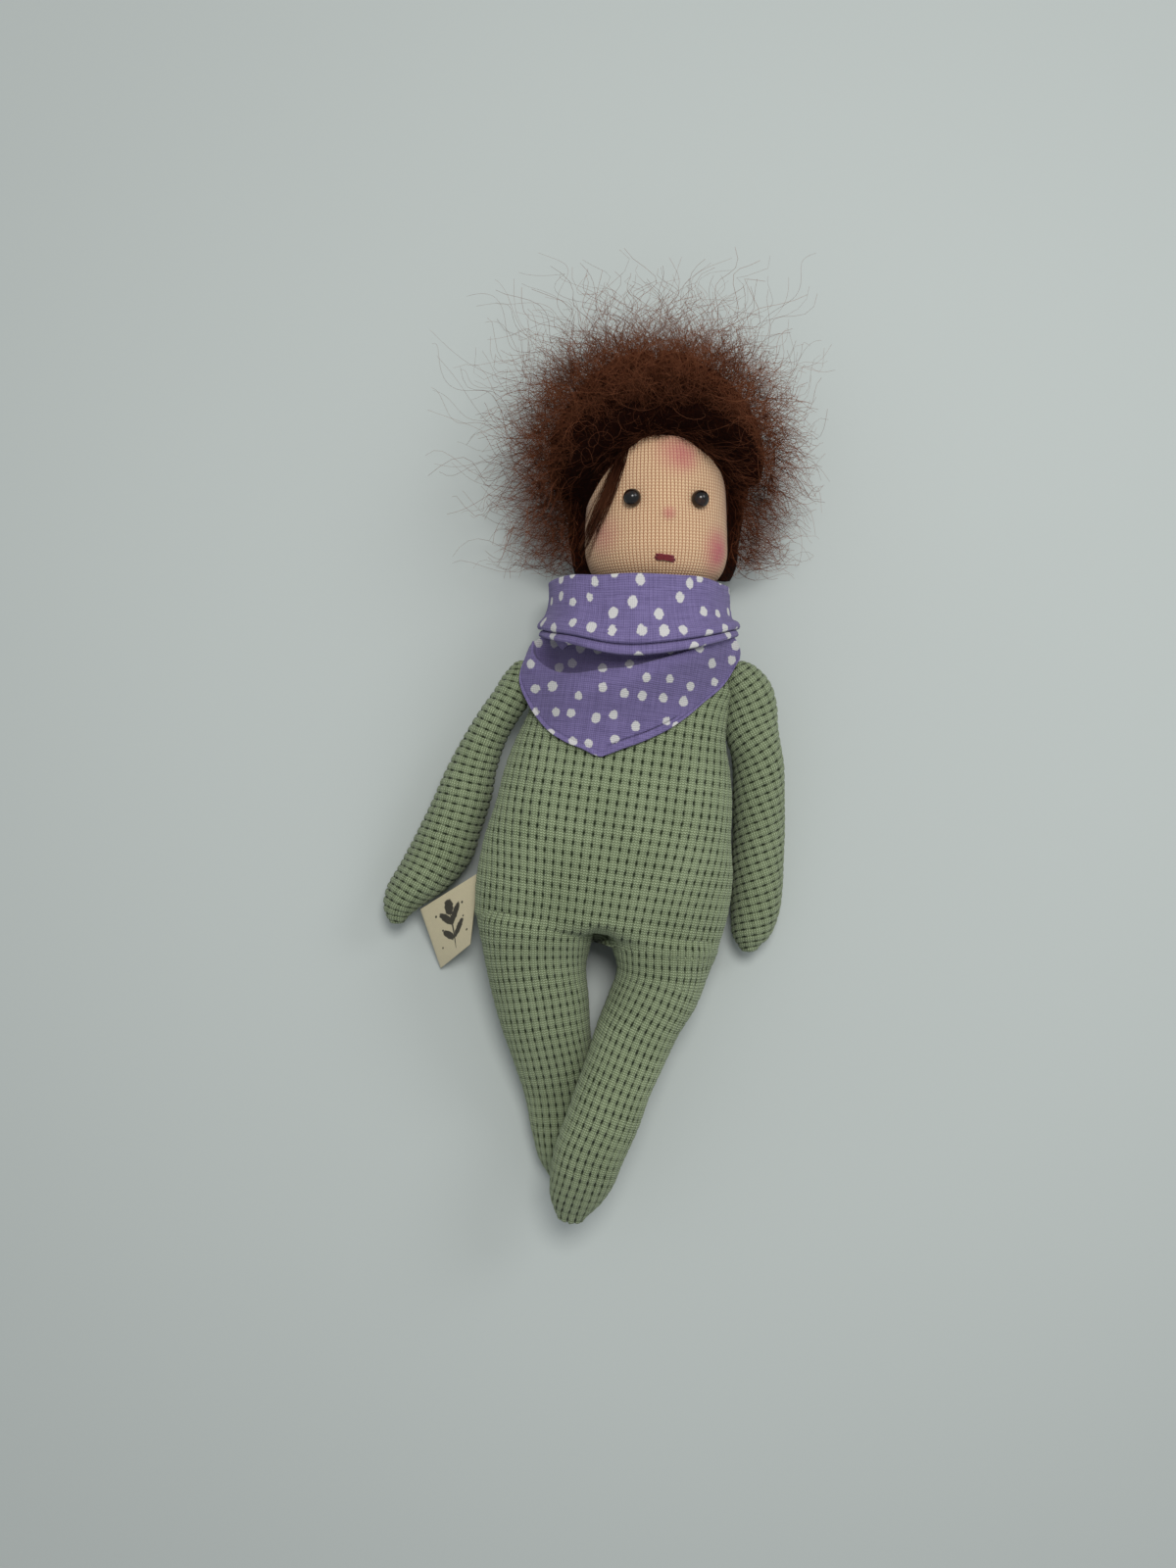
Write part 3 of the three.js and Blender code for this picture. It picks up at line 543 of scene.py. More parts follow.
# Cell coordinates of a tube: wales counted round from its front line, rows along its middle line.
# The ring's own slant is taken off, so that cells stay square to the limb. turn slants the wales.
def tubeCells(ring, middle, cellWidth, phase=0.0, start=0.0, turn=0.0, across=False):
    tangent = np.gradient(middle, axis=0)
    soft = np.ones(31) / 31
    padded = np.pad(tangent, ((15, 15), (0, 0)), mode="edge")
    tangent = unit(np.stack([np.convolve(padded[:, k], soft, mode="valid") for k in range(3)], 1))
    front = ring.shape[1] // 2
    line = ring[:, front]
    run = runAlong(line) + start
    along = run[:, None] + np.einsum("ijk,ik->ij", ring - line[:, None], unit(tangent * [1, 1, 0]))
    step = np.diff(ring, axis=1)
    step = step - np.einsum("ijk,ik->ij", step, tangent)[..., None] * tangent[:, None]
    around = np.pad(np.cumsum(np.linalg.norm(step, axis=2), 1), ((0, 0), (1, 0)))
    around = -(around - around[:, front:front + 1])
    c, s = math.cos(turn), math.sin(turn)
    g, s = around * c - along * s, along * c + around * s
    if across:
        return s / cellWidth, g / waffle["cellHeight"]
    return g / cellWidth + phase, s / waffle["cellHeight"]


# The knit laid on a ring grid: points move along the outward normal by relief, lumps and inset.
# Where calm is 1 the knit lies flat. Near the floor the cloth flattens out against it.
def knitPiece(name, ring, middle, cells, inset=0.0, lump=0.35, salt=0, calm=0.0):
    normal = tubeNormals(ring, middle)
    girth = np.linalg.norm(ring - middle[:, None], axis=2).min(1)
    fade = ease(0.5, 4.0, girth)[:, None]
    jitter = waves(ring, 9.0, 6, 3 + salt) * 0.07
    relief = waffleRelief(cells[0] + jitter, cells[1] + jitter * 0.7)
    relief = relief + waves(ring, 24.0, 6, 5 + salt) * lump + waves(ring, 7.0, 8, 9 + salt) * 0.1
    # The seam down the back
    relief[:, -1] = relief[:, 0] = (relief[:, 0] + relief[:, -1]) / 2 - 0.5
    calm = calm + 0 * fade * relief
    points = ring + normal * (relief * fade * (1 - calm) + inset)[..., None]
    floor, high = waffle["floor"], points[..., 2]
    pressed = floor + np.exp(np.minimum(high - floor - 1.0, 0))
    points[..., 2] = np.where(high < floor + 1.0, pressed, high)
    uv = np.concatenate([np.stack(cells, -1).reshape(-1, 2), np.zeros((2, 2))])
    still = np.concatenate([calm.reshape(-1), np.zeros(2)])
    return tubePiece(name, points, knit, uv=uv, fields={"calm": still})


# Body: one knitted tube from neck to hips, whose foot takes the form of the two leg tops.
body = {
    "length": 99.0, "width": 86.6, "depth": 47.0, "power": 2.3, "restCut": 0.5,
    "shares": [  # along, width, depth, aside, lifted
        [-0.05, 0.975, 0.94, 0, 0], [0, 0.975, 0.94, 0, 0], [0.12, 1, 0.98, 0, 0],
        [0.25, 0.993, 1, 0, 0], [0.38, 0.945, 0.985, 0, 0], [0.51, 0.91, 0.94, 0, 0],
        [0.61, 0.86, 0.88, 0, 0],
        [0.73, 0.785, 0.82, 0, 0], [0.84, 0.77, 0.74, 0.006, 0.04], [0.91, 0.71, 0.64, 0.03, 0.12],
        [0.965, 0.52, 0.54, 0.05, 0.2], [1, 0.3, 0.42, 0.055, 0.3]],
    "rows": 216, "columns": 441, "foot": -4.0, "crotch": 1.6, "hipMiddle": 21.2,
    "cellAtHips": 2.8, "cellAtChest": 3.25,
}
# Legs: middle lines and sections in the hips' leaning frame, from the hip seam down.
legs = {"columns": 261, "pitch": 0.45, "cellWidth": 2.68, "seamHigh": 39.7}
leftLeg = {
    "length": 92.0, "width": 40.0, "depth": 43.0, "across": -21.2, "tip": 0.022,
    "shares": [  # along, aside, width, depth, up
        [-0.04, 0, 1, 1, 0.5], [0, 0, 1, 1, 0.5], [0.13, 0.03, 0.9, 0.9, 0.45],
        [0.27, 0.125, 0.85, 0.81, 0.405], [0.4, 0.22, 0.79, 0.72, 0.36],
        [0.54, 0.338, 0.7, 0.6, 0.3],
        [0.67, 0.433, 0.615, 0.5, 0.25], [0.8, 0.503, 0.545, 0.45, 0.225],
        [0.91, 0.555, 0.42, 0.36, 0.21], [0.98, 0.57, 0.2, 0.19, 0.2]],
}
rightLeg = {
    "length": 100.0, "width": 40.0, "depth": 43.0, "across": 23.2, "tip": 0.022,
    "shares": [
        [-0.04, 0, 0.955, 1, 0.48], [0, 0, 0.955, 1, 0.48], [0.03, 0.008, 0.91, 0.97, 0.48],
        [0.06, 0.018, 0.85, 0.93, 0.48], [0.1, 0.032, 0.78, 0.88, 0.48],
        [0.21, -0.018, 0.74, 0.81, 0.475], [0.31, -0.105, 0.68, 0.74, 0.51],
        [0.37, -0.145, 0.66, 0.7, 0.55], [0.42, -0.178, 0.645, 0.67, 0.615],
        [0.5, -0.235, 0.62, 0.62, 0.735], [0.62, -0.298, 0.61, 0.57, 0.79],
        [0.74, -0.37, 0.58, 0.52, 0.785], [0.84, -0.4, 0.525, 0.46, 0.73],
        [0.91, -0.425, 0.42, 0.37, 0.68], [0.97, -0.44, 0.24, 0.23, 0.64]],
}


# Rings of the body over rows v down the spine. Towards the foot each ring turns from one
# superellipse into the outline of two, one for each leg, and closes between them at the crotch.
def bodyRings(v, theta, inset=0.0, footed=True):
    width, depth, aside, lifted = rowsAt(body["shares"], v / body["length"]).T
    c, s = superRing(theta, body["power"])
    u = aside[:, None] * body["width"] + (width[:, None] * body["width"] / 2 - inset) * c
    middle = (depth / 2 + lifted) * body["depth"] - body["restCut"]
    z = middle[:, None] + (depth[:, None] * body["depth"] / 2 - inset) * s
    gap = np.exp(-((u - body["crotch"]) / 4.2) ** 4)
    edge = np.clip((5.5 - v) / 6.1, 0, 1)[:, None]
    turn = (1 - ease(-4.0, 4.0, v))[:, None] * (1 - gap) + (1 - np.sqrt(1 - edge ** 2)) * gap
    turn = turn * footed
    tops = []
    for leg in (leftLeg, rightLeg):
        half, high = leg["width"] * leg["shares"][0][2] / 2, leg["depth"] / 2
        inside = np.clip(1 - np.abs((u - leg["across"]) / half) ** body["power"], 0, 1)
        tops.append((high - inset) * inside ** (1 / body["power"]))
    legZ = body["hipMiddle"] + np.sign(s) * np.maximum(*tops)
    outer = np.abs(u - 1.2) > 20
    z = z + turn * np.where(outer & (np.maximum(*tops) < 9), 0.0, legZ - z)
    vAll = np.where(v[:, None] < -0.6, v[:, None] * (1 - gap) - 0.6 * gap, v[:, None] + 0 * gap)
    ring = spineToPlan(u, vAll, z)
    return ring, spineToPlan(aside * body["width"], v, middle)


def legRings(leg, t, theta, inset=0.0):
    aside, width, depth, up = rowsAt(withTip(leg["shares"], leg["tip"]), t).T
    c, s = superRing(theta, body["power"])
    u = leg["across"] + aside * leg["width"]
    z = up * leg["depth"]
    half = np.maximum(width * leg["width"] / 2 - inset, 0.05)
    high = np.maximum(depth * leg["depth"] / 2 - inset, 0.05)
    ring = spineToPlan(u[:, None] + half[:, None] * c, -t[:, None] * leg["length"],
                       z[:, None] + high[:, None] * s)
    return ring, spineToPlan(u, -t * leg["length"], z)


# A turn of angles from the back line round by the right side, the front and the left to the back.
def ringAngles(columns):
    return np.linspace(-math.pi / 2, 1.5 * math.pi, columns)


knit = waffleFinish("waffleKnit")

v = np.linspace(body["length"], body["foot"], body["rows"])
theta = ringAngles(body["columns"])
ring, middle = bodyRings(v, theta)
cellWidth = body["cellAtHips"] + (body["cellAtChest"] - body["cellAtHips"]) * ease(0, 45, v)
g, _ = tubeCells(bodyRings(v, theta, footed=False)[0], middle, 1.0)
cells = (g / cellWidth[:, None], -v[:, None] / waffle["cellHeight"] + 0 * g)
dive = np.interp(v, [body["foot"], 0.5], [-1.6, 0.15])[:, None]
wide, deep, off, lift = rowsAt(body["shares"], v / body["length"]).T * body["width"]
across = off[:, None] + wide[:, None] / 2 * superRing(theta, body["power"])[0]
calm = np.exp(-((across - body["crotch"]) / 5.0) ** 4) * (1 - ease(0.8, 4.5, v))[:, None]
bodyKnit = knitPiece("bodyKnit", ring, middle, cells, inset=dive, lump=0.4, calm=calm)


# Start and end of a blend on the front of the body: two (across, along the spine) pairs.
def seam(start, end):
    line = [spineToPlan(np.array(u), v, legs["seamHigh"]) for u, v in (start, end)]
    return {"start": rowPoint(line[0]), "end": rowPoint(line[1])}


bend = seam((0.0, 26.0), (0.0, 0.0))
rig.blend(bodyKnit, "torso", "hips", **bend)
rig.replaces(bodyKnit, "torso_skin", "crotch_gusset")
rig.padded(bodyKnit, fill=0.75)
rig.slot(bodyKnit, "waffle")


# A leg's knit over a run of its length, with its cells counted on from the body's.
def legKnit(name, leg, fromShare, toShare, phase, salt):
    table = withTip(leg["shares"], leg["tip"])
    t = evenSteps(table, leg["length"], leg["width"], legs["pitch"], fromShare, toShare)
    ring, middle = legRings(leg, t, ringAngles(legs["columns"]))
    start = fromShare * leg["length"]
    cells = tubeCells(ring, middle, legs["cellWidth"], phase=phase, start=start)
    tuck = np.interp(t * leg["length"], [-3.5, 0.5], [-1.3, 0.0])[:, None]
    return knitPiece(name, ring, middle, cells, inset=tuck, lump=0.35, salt=salt)


leftLegKnit = legKnit("leftLegKnit", leftLeg, -0.035, 1.0, -7.6, 20)
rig.blend(leftLegKnit, "hips", "left_leg", **seam((-21.2, 0.0), (-21.2, -25.0)))
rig.replaces(leftLegKnit, "left_leg_skin")
rightThighKnit = legKnit("rightThighKnit", rightLeg, -0.033, 0.14, 8.4, 30)
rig.blend(rightThighKnit, "hips", "right_hip", **seam((23.2, 0.0), (23.2, -12.0)))
rightLegKnit = legKnit("rightLegKnit", rightLeg, 0.125, 1.0, 8.4, 30)
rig.blend(rightLegKnit, "right_hip", "right_leg", **seam((23.2, -13.0), (22.0, -32.0)))
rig.replaces(rightLegKnit, "right_leg_skin")
for piece in (leftLegKnit, rightThighKnit, rightLegKnit):
    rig.padded(piece, fill=0.8)
    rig.slot(piece, "waffle")
print("body and legs knitted")

# Sleeves: closed tubes from a gathered ball at the shoulder; their wales run across the arm.
arm = {
    "width": 24.6, "z": 20.0, "tip": 0.018, "power": 2.1, "columns": 191, "cellWidth": 2.75,
    "pitch": 0.43,
}
leftArm = {
    "at": (-27.3, 26.6), "length": 92.0, "turn": math.radians(6),
    "shares": [  # along, aside, width, depth, drop
        [-0.072, 0.16, 0.16, 0.17, 0], [-0.062, 0.18, 0.32, 0.34, 0], [-0.046, 0.18, 0.44, 0.46, 0],
        [-0.014, 0.14, 0.56, 0.57, 0], [0.04, 0.04, 0.6, 0.62, 0], [0.1, -0.12, 0.61, 0.64, -0.03],
        [0.2, -0.36, 0.6, 0.63, -0.07], [0.33, -0.59, 0.69, 0.68, -0.13],
        [0.45, -0.735, 0.81, 0.78, -0.21], [0.57, -0.92, 0.89, 0.86, -0.28],
        [0.69, -1.12, 0.96, 0.92, -0.32], [0.8, -1.42, 0.82, 0.86, -0.36],
        [0.87, -1.625, 0.46, 0.6, -0.38], [0.91, -1.68, 0.24, 0.34, -0.39]],
}
rightArm = {
    "at": (54.6, 25.5), "length": 94.0, "turn": math.radians(20),
    "shares": [
        [-0.08, -0.15, 0.15, 0.16, 0], [-0.067, -0.13, 0.34, 0.34, 0],
        [-0.047, -0.106, 0.49, 0.46, 0], [-0.02, -0.065, 0.6, 0.57, 0],
        [0.01, -0.03, 0.67, 0.64, 0], [0.065, 0.01, 0.71, 0.66, -0.02],
        [0.17, 0.03, 0.74, 0.7, -0.06], [0.28, 0.13, 0.72, 0.76, -0.13],
        [0.4, 0.155, 0.71, 0.8, -0.21], [0.56, 0.165, 0.71, 0.82, -0.31],
        [0.67, 0.155, 0.72, 0.82, -0.38], [0.78, 0.14, 0.7, 0.8, -0.4],
        [0.89, 0.1, 0.62, 0.7, -0.42], [0.95, 0.06, 0.48, 0.54, -0.42],
        [0.985, 0.03, 0.26, 0.3, -0.42]],
}


def armRings(limb, t, theta, inset=0.0):
    aside, width, depth, drop = rowsAt(withTip(limb["shares"], arm["tip"]), t).T * arm["width"]
    c, s = superRing(theta, arm["power"])
    x, y, z = limb["at"][0] + aside, limb["at"][1] - t * limb["length"], arm["z"] + drop
    half, high = np.maximum(width / 2 - inset, 0.05), np.maximum(depth / 2 - inset, 0.05)
    ring = np.stack([x[:, None] + half[:, None] * c, y[:, None] + 0 * c + 0 * half[:, None],
                     z[:, None] + high[:, None] * s], -1)
    return ring, np.stack([x, y, z], -1)


for side, limb, salt in (("left", leftArm, 40), ("right", rightArm, 50)):
    table = withTip(limb["shares"], arm["tip"])
    t = evenSteps(table, limb["length"], arm["width"], arm["pitch"], table[0][0], table[-1][0])
    ring, middle = armRings(limb, t, ringAngles(arm["columns"]))
    cells = tubeCells(ring, middle, arm["cellWidth"], turn=limb["turn"], across=True)
    sleeve = knitPiece(side + "SleeveKnit", ring, middle, cells, lump=0.3, salt=salt)
    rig.ride(sleeve, side + "_arm")
    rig.replaces(sleeve, side + "_arm_skin")
    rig.padded(sleeve, fill=0.8)
    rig.slot(sleeve, "waffle")
print("sleeves knitted")

# Stuffing: wool wads inside the cloth, from the same surfaces set in, with soft lumps.
stuffing = {"colour": (226, 219, 203), "inset": 2.4}


def woolFinish(name):
    f = Finish(name, Roughness=0.97, Sheen_Weight=0.3, Specular_IOR_Level=0.1)
    at = f.place()
    strands = f.noise(at, 0.9, 6.0, 0.75)
    clumps = f.noise(at, 0.12, 3.0)
    base = linear(*stuffing["colour"])
    tone = f.mix(clumps.ease(0.3, 0.7), scaled(base, 0.8), base)
    return f.finish(f.mix((strands * 0.5).least(1.0), tone, scaled(base, 0.68)), strands, 0.5, 0.8)


wool = woolFinish("cardedWool")


# Lumpy wad: the ring surface moved by two sizes of soft waves.
def wad(name, ring, middle, node, salt):
    lumps = waves(ring, 14.0, 6, salt) * 0.5 + waves(ring, 5.0, 8, salt + 1) * 0.25
    normal = tubeNormals(ring, middle)
    piece = tubePiece(name, ring + normal * np.minimum(lumps, 0.3)[..., None], wool)
    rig.replaces(piece, node)
    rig.padded(piece, fill=0.7)
    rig.slot(piece, "wool")
    return piece


inset = stuffing["inset"]
v = np.linspace(body["length"] - 2, 4.0, 70)
piece = wad("bodyWool", *bodyRings(v, ringAngles(121), inset, footed=False), "torso_fill", 60)
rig.blend(piece, "torso", "hips", **bend)
for side, leg, start, upper, across, low, high in (
        ("left", leftLeg, 0.035, "hips", -21.2, 0.0, -25.0),
        ("right", rightLeg, 0.135, "right_hip", 22.0, -13.0, -32.0)):
    table = withTip(leg["shares"], leg["tip"])
    t = evenSteps(table, leg["length"] - 2, leg["width"], 1.3, start, 0.985)
    piece = wad(side + "LegWool", *legRings(leg, t, ringAngles(81), inset), side + "_leg_fill", 62)
    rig.blend(piece, upper, side + "_leg", **seam((across, low), (across, high)))
for side, limb in (("left", leftArm), ("right", rightArm)):
    table = withTip(limb["shares"], arm["tip"])
    t = evenSteps(table, limb["length"], arm["width"], 1.2, -0.02, limb["shares"][-1][0])
    piece = wad(side + "ArmWool", *armRings(limb, t, ringAngles(61), inset), side + "_arm_fill", 64)
    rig.ride(piece, side + "_arm")
print("wool wads made")

# Head: a jersey egg on the nod line, with chains of V stitches running up the face.
head = {
    "middle": (22.0, 27.5), "foot": 46.0, "length": 78.0, "radius": 24.3,
    "wales": 118, "stitch": 1.05,
    "shares": [  # along from the chin, radius
        [0, 0], [0.013, 0.21], [0.05, 0.39], [0.103, 0.54], [0.155, 0.76], [0.205, 0.905],
        [0.27, 0.985], [0.36, 1], [0.54, 0.975], [0.66, 0.95], [0.77, 0.86], [0.86, 0.7],
        [0.94, 0.46], [0.985, 0.21], [1, 0]],
    "rows": 280, "columns": 241, "nose": (25.3, 79.8, 2.6, 0.9),  # x, y, wide, high
    "sockets": (13.0, 35.6, 84.6),  # x of each, y
    # The gap colour is painted shade for the grooves between the wales.
    "skin": (204, 164, 128), "light": (226, 194, 156), "gap": (138, 80, 52),
    "blush": (178, 84, 94),
    "blushes": [  # middle, radius, strength
        ((28.5, 100.0, 48.0), 11.0, 0.55), ((42.0, 68.5, 40.0), 11.0, 0.85),
        ((5.0, 73.5, 42.0), 10.0, 0.4), ((25.2, 79.4, 51.5), 3.4, 0.6),
        ((31.0, 98.0, 49.0), 6.0, 0.3)],
}


# The egg as rings: the lathe profile turned about the neck line, thicker or thinner by out.
# Gives the rings, their middles, and the run up the profile.
def headRings(rows, columns, out=0.0, low=0.0):
    turn = np.linspace(math.acos(1 - 2 * low), math.pi, rows)
    t = (1 - np.cos(turn)) / 2
    r = np.interp(t, *smoothProfile) * head["radius"]
    slope = np.gradient(r, t * head["length"] + 1e-9)
    size = np.hypot(1, slope)
    r2 = np.maximum(r + out / size, 0.02)
    y2 = head["foot"] + t * head["length"] - out * np.clip(slope / size, -1, 1)
    q = ringAngles(columns)
    ring = np.stack([head["middle"][0] + r2[:, None] * np.cos(q), y2[:, None] + 0 * q,
                     head["middle"][1] + r2[:, None] * np.sin(q)], -1)
    middle = np.stack([0 * t + head["middle"][0], y2, 0 * t + head["middle"][1]], -1)
    run = np.concatenate([[0], np.cumsum(np.hypot(np.diff(y2), np.diff(r2)))])
    return ring, middle, run


# UV of a tube of rings: cells counted round it and the run along it, with a pair more for each cap.
def tubeUv(around, run, columns):
    across = np.linspace(0, around, columns)[None, :] + 0 * run[:, None]
    cells = np.stack([across, run[:, None] + 0 * across], -1)
    return np.concatenate([cells.reshape(-1, 2), np.zeros((2, 2))])


fine = np.linspace(0, 1, 800)
turns = np.arccos(1 - 2 * np.array(head["shares"])[:, 0])
byTurn = np.column_stack([turns, np.array(head["shares"])[:, 1]])
smoothProfile = (fine, np.maximum(rowsAt(byTurn, np.arccos(1 - 2 * fine))[:, 0], 0))


def jerseyFinish():
    f = Finish("faceJersey", Roughness=0.9, Sheen_Weight=0.15, Specular_IOR_Level=0.2)
    at = f.place()
    across, along = f.cells()
    across = across + (f.noise(at, 0.25) - 0.5) * 0.25
    wale = across.ply()
    stitch = (along + wale * 0.55).ply()
    yarn = stitch.ease(0.05, 0.9) * (1 - wale.ease(0.5, 1.0) * 0.8)
    fuzz = f.noise(at, 3.0, 4.0, 0.7)
    tone = yarn * 0.9 + (fuzz - 0.5) * 0.6 + 0.16
    skin, light, gap, blush = (linear(*head[k]) for k in ("skin", "light", "gap", "blush"))
    low = tuple(0.75 * s + 0.25 * g for s, g in zip(skin, gap))
    colour = f.mix(tone.ease(0.0, 1.0), low, light)
    # Painted shade in the grooves between the wales.
    colour = f.mix(wale.ease(0.55, 1.0) * 0.85, colour, gap)
    mottle = f.noise(at, 0.5, 3.0) * 0.7 + 0.65
    for centre, radius, strength in head["blushes"]:
        spot = f.spot(at, (np.array(centre) + shift), radius, 0.95)
        colour = f.mix((spot * strength * mottle).least(1.0), colour, blush)
    return f.finish(colour, yarn + fuzz * 0.3, 0.22, 0.8)


ring, middle, run = headRings(head["rows"], head["columns"])
x, y, z = np.moveaxis(ring, -1, 0)
noseX, noseY, noseWide, noseHigh = head["nose"]
nose = noseHigh * np.exp(-(((x - noseX) / noseWide) ** 2 + ((y - noseY) / noseWide) ** 2))
nose = nose * (z > head["middle"][1])
dent = waves(ring, 18.0, 6, 71) * 0.25
*socketXs, socketY = head["sockets"]
for socketX in socketXs:
    dent -= 0.9 * np.exp(-((x - socketX) ** 2 + (y - socketY) ** 2) / 12) * (z > 27)
wales = 0.07 * np.cos(2 * np.pi * np.linspace(0, head["wales"], head["columns"])[None, :])
points = ring + tubeNormals(ring, middle) * (nose + dent + wales)[..., None]
uv = tubeUv(head["wales"], run / head["stitch"], head["columns"])
headJersey = tubePiece("headJersey", points, jerseyFinish(), uv=uv)
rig.ride(headJersey, "head")
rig.replaces(headJersey, "head_skin")
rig.padded(headJersey, fill=0.95)
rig.slot(headJersey, "jersey")

piece = wad("headWool", *headRings(90, 97, -3.4)[:2], "head_wool", 72)
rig.ride(piece, "head")


# Gauze: a plain open weave, threads crossing in the piece's own cells.
def gauzeFinish(name, colour=(230, 224, 208)):
    f = Finish(name, Roughness=0.95, Specular_IOR_Level=0.1)
    x, y = f.cells()
    at = f.place()
    thread = (x % 1.0 - 0.5).size().ease(0.2, 0.45).most((y % 1.0 - 0.5).size().ease(0.2, 0.45))
    base = linear(*colour)
    colour = f.mix(thread * 0.8 + f.noise(at, 2.0, 3.0) * 0.2, scaled(base, 0.55), base)
    return f.finish(colour, thread, 0.3, 0.8)


ring, _, run = headRings(90, 97, -1.6)
gauze = tubePiece("headGauzeTube", ring, gauzeFinish("gauzeWeave"), uv=tubeUv(150, run, 97))
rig.ride(gauze, "head")
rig.replaces(gauze, "head_gauze")
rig.padded(gauze, fill=0.9)
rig.slot(gauze, "gauze")


# Bead eyes: glossy dark glass with soft brown swirls, spheres a little fuller round the middle.
def beadFinish():
    f = Finish("glassBead", Roughness=0.2, Specular_IOR_Level=0.5)
    at = f.place()
    swirl = f.noise(at, 0.35, 3.0, 0.6)
    colour = f.mix(swirl.ease(0.45, 0.75), linear(10, 7, 6), linear(52, 28, 15))
    return f.finish(colour, swirl, 0.02, 0.3)


bead = beadFinish()
for side in ("left", "right"):
    low, high = (np.array(c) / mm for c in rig.box(side + "_eye"))
    centre, radius = (low + high) / 2 - shift, (high - low)[0] / 2
    polar, turn = np.linspace(0, math.pi, 33)[:, None], np.linspace(0, 2 * math.pi, 49)
    r = radius * (1 + 0.03 * np.exp(-((polar - math.pi / 2) / 0.5) ** 2))
    ring = np.stack([np.sin(polar) * np.cos(turn) * r, np.sin(polar) * np.sin(turn) * r,
                     np.cos(polar) * r + 0 * turn], -1)
    eye = tubePiece(side + "BeadEye", ring + centre, bead, capped=False)
    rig.ride(eye, "head")
    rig.replaces(eye, side + "_eye")
    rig.slot(eye, "bead")


# Thread: two plies twisted round each other, by slanted waves along the piece.
def threadFinish(name, colour, upright=False):
    f = Finish(name, Roughness=0.75, Sheen_Weight=0.2, Specular_IOR_Level=0.3)
    x, y, z = f.split(f.place())
    run, side = (z, x) if upright else (x, y)
    ply = (run * 1.4 + side * 1.4 * 1.2).ply()
    base = linear(*colour)
    return f.finish(f.mix(ply.ease(0.1, 0.9), scaled(base, 0.55), base), ply, 0.15, 0.9)


# Mouth: three long stitches side by side, each a thread that dives into the face at both ends.
mouth = {
    "at": (23.9, 64.9), "length": 6.8, "rise": -0.35, "gap": 0.62, "radius": 0.42,
    "sides": 10, "plies": 0.12, "twist": 3.0, "colour": (128, 34, 44),
}


# Radius of the head at a height along it.
def headRadius(y):
    return np.interp(y, head["foot"] + fine * head["length"], smoothProfile[1] * head["radius"])


def faceHeight(x, y):
    aside = x - head["middle"][0]
    return head["middle"][1] + np.sqrt(np.maximum(headRadius(y) ** 2 - aside ** 2, 0))


# A two-ply thread along a path, as rings.
def threadTube(path):
    tangent = unit(np.gradient(path, axis=0))
    side = unit(np.cross(tangent, [0.05, 0.1, 1.0]))
    up = np.cross(side, tangent)
    q = np.linspace(0, 2 * math.pi, mouth["sides"] + 1)
    ply = np.cos(2 * q[None, :] + mouth["twist"] * runAlong(path)[:, None])
    r = mouth["radius"] * (1 + mouth["plies"] * ply)
    return (path[:, None] + side[:, None] * (r * np.cos(q))[..., None]
            + up[:, None] * (r * np.sin(q))[..., None])


# Closed parts joined to one list of points and one of faces.
def joined(tubes):
    points, faces, count = [], [], 0
    for tubePoints, tubeFaces in tubes:
        points.append(tubePoints)
        faces += [f + count for f in facesOutward(tubePoints, tubeFaces)]
        count += len(tubePoints)
    return np.concatenate(points), faces


stitches = []
for k in (-1, 0, 1):
    s = np.linspace(-0.5, 0.5, 40)
    x = mouth["at"][0] + s * mouth["length"] * (1 - 0.12 * abs(k))
    y = mouth["at"][1] + k * mouth["gap"] + s * mouth["rise"] * 2
    y = y - 0.5 * (2 * s) ** 2 * (k <= 0) * 0.5
    z = faceHeight(x, y) + (0.5 - 1.2 * np.abs(2 * s) ** 6)
    stitches.append(tubeParts(threadTube(np.stack([x, y, z], -1))))
lips = makeMesh("mouthStitches", *joined(stitches), threadFinish("mouthThread", mouth["colour"]))
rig.ride(lips, "head")
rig.replaces(lips, "mouth_stitch")
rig.slot(lips, "mouth")
print("head, eyes and mouth made")

# Label: one tape folded in half, its two ends in the side seam.
label = {
    "seamTop": (-39.2, -40.2, 21.0), "seamBottom": (-42.5, -65.5, 17.0),
    "foldTop": (-60.4, -53.6, 12.0), "foldBottom": (-54.0, -75.4, 2.4),
    "gap": 0.9, "wall": 0.35, "rows": 70, "columns": 120,
    "cream": (214, 203, 170), "dark": (30, 30, 29),
    "leaves": [  # mm from the fold, mm down, angle, half lengths
        (10.5, 9.2, 0.9, 4.2, 1.4), (14.6, 9.0, -0.9, 4.2, 1.4), (10.0, 15.4, 0.8, 3.8, 1.35),
        (15.2, 15.2, -0.8, 3.8, 1.35), (12.6, 5.6, 0.0, 2.0, 3.4), (12.6, 14.0, 0.0, 0.35, 8.0)],
    "dots": [(6.2, 6.0, 0.5), (7.6, 12.4, 0.45), (18.4, 6.8, 0.5), (18.0, 12.0, 0.4),
             (5.4, 18.4, 0.45), (19.2, 18.0, 0.45)],
}


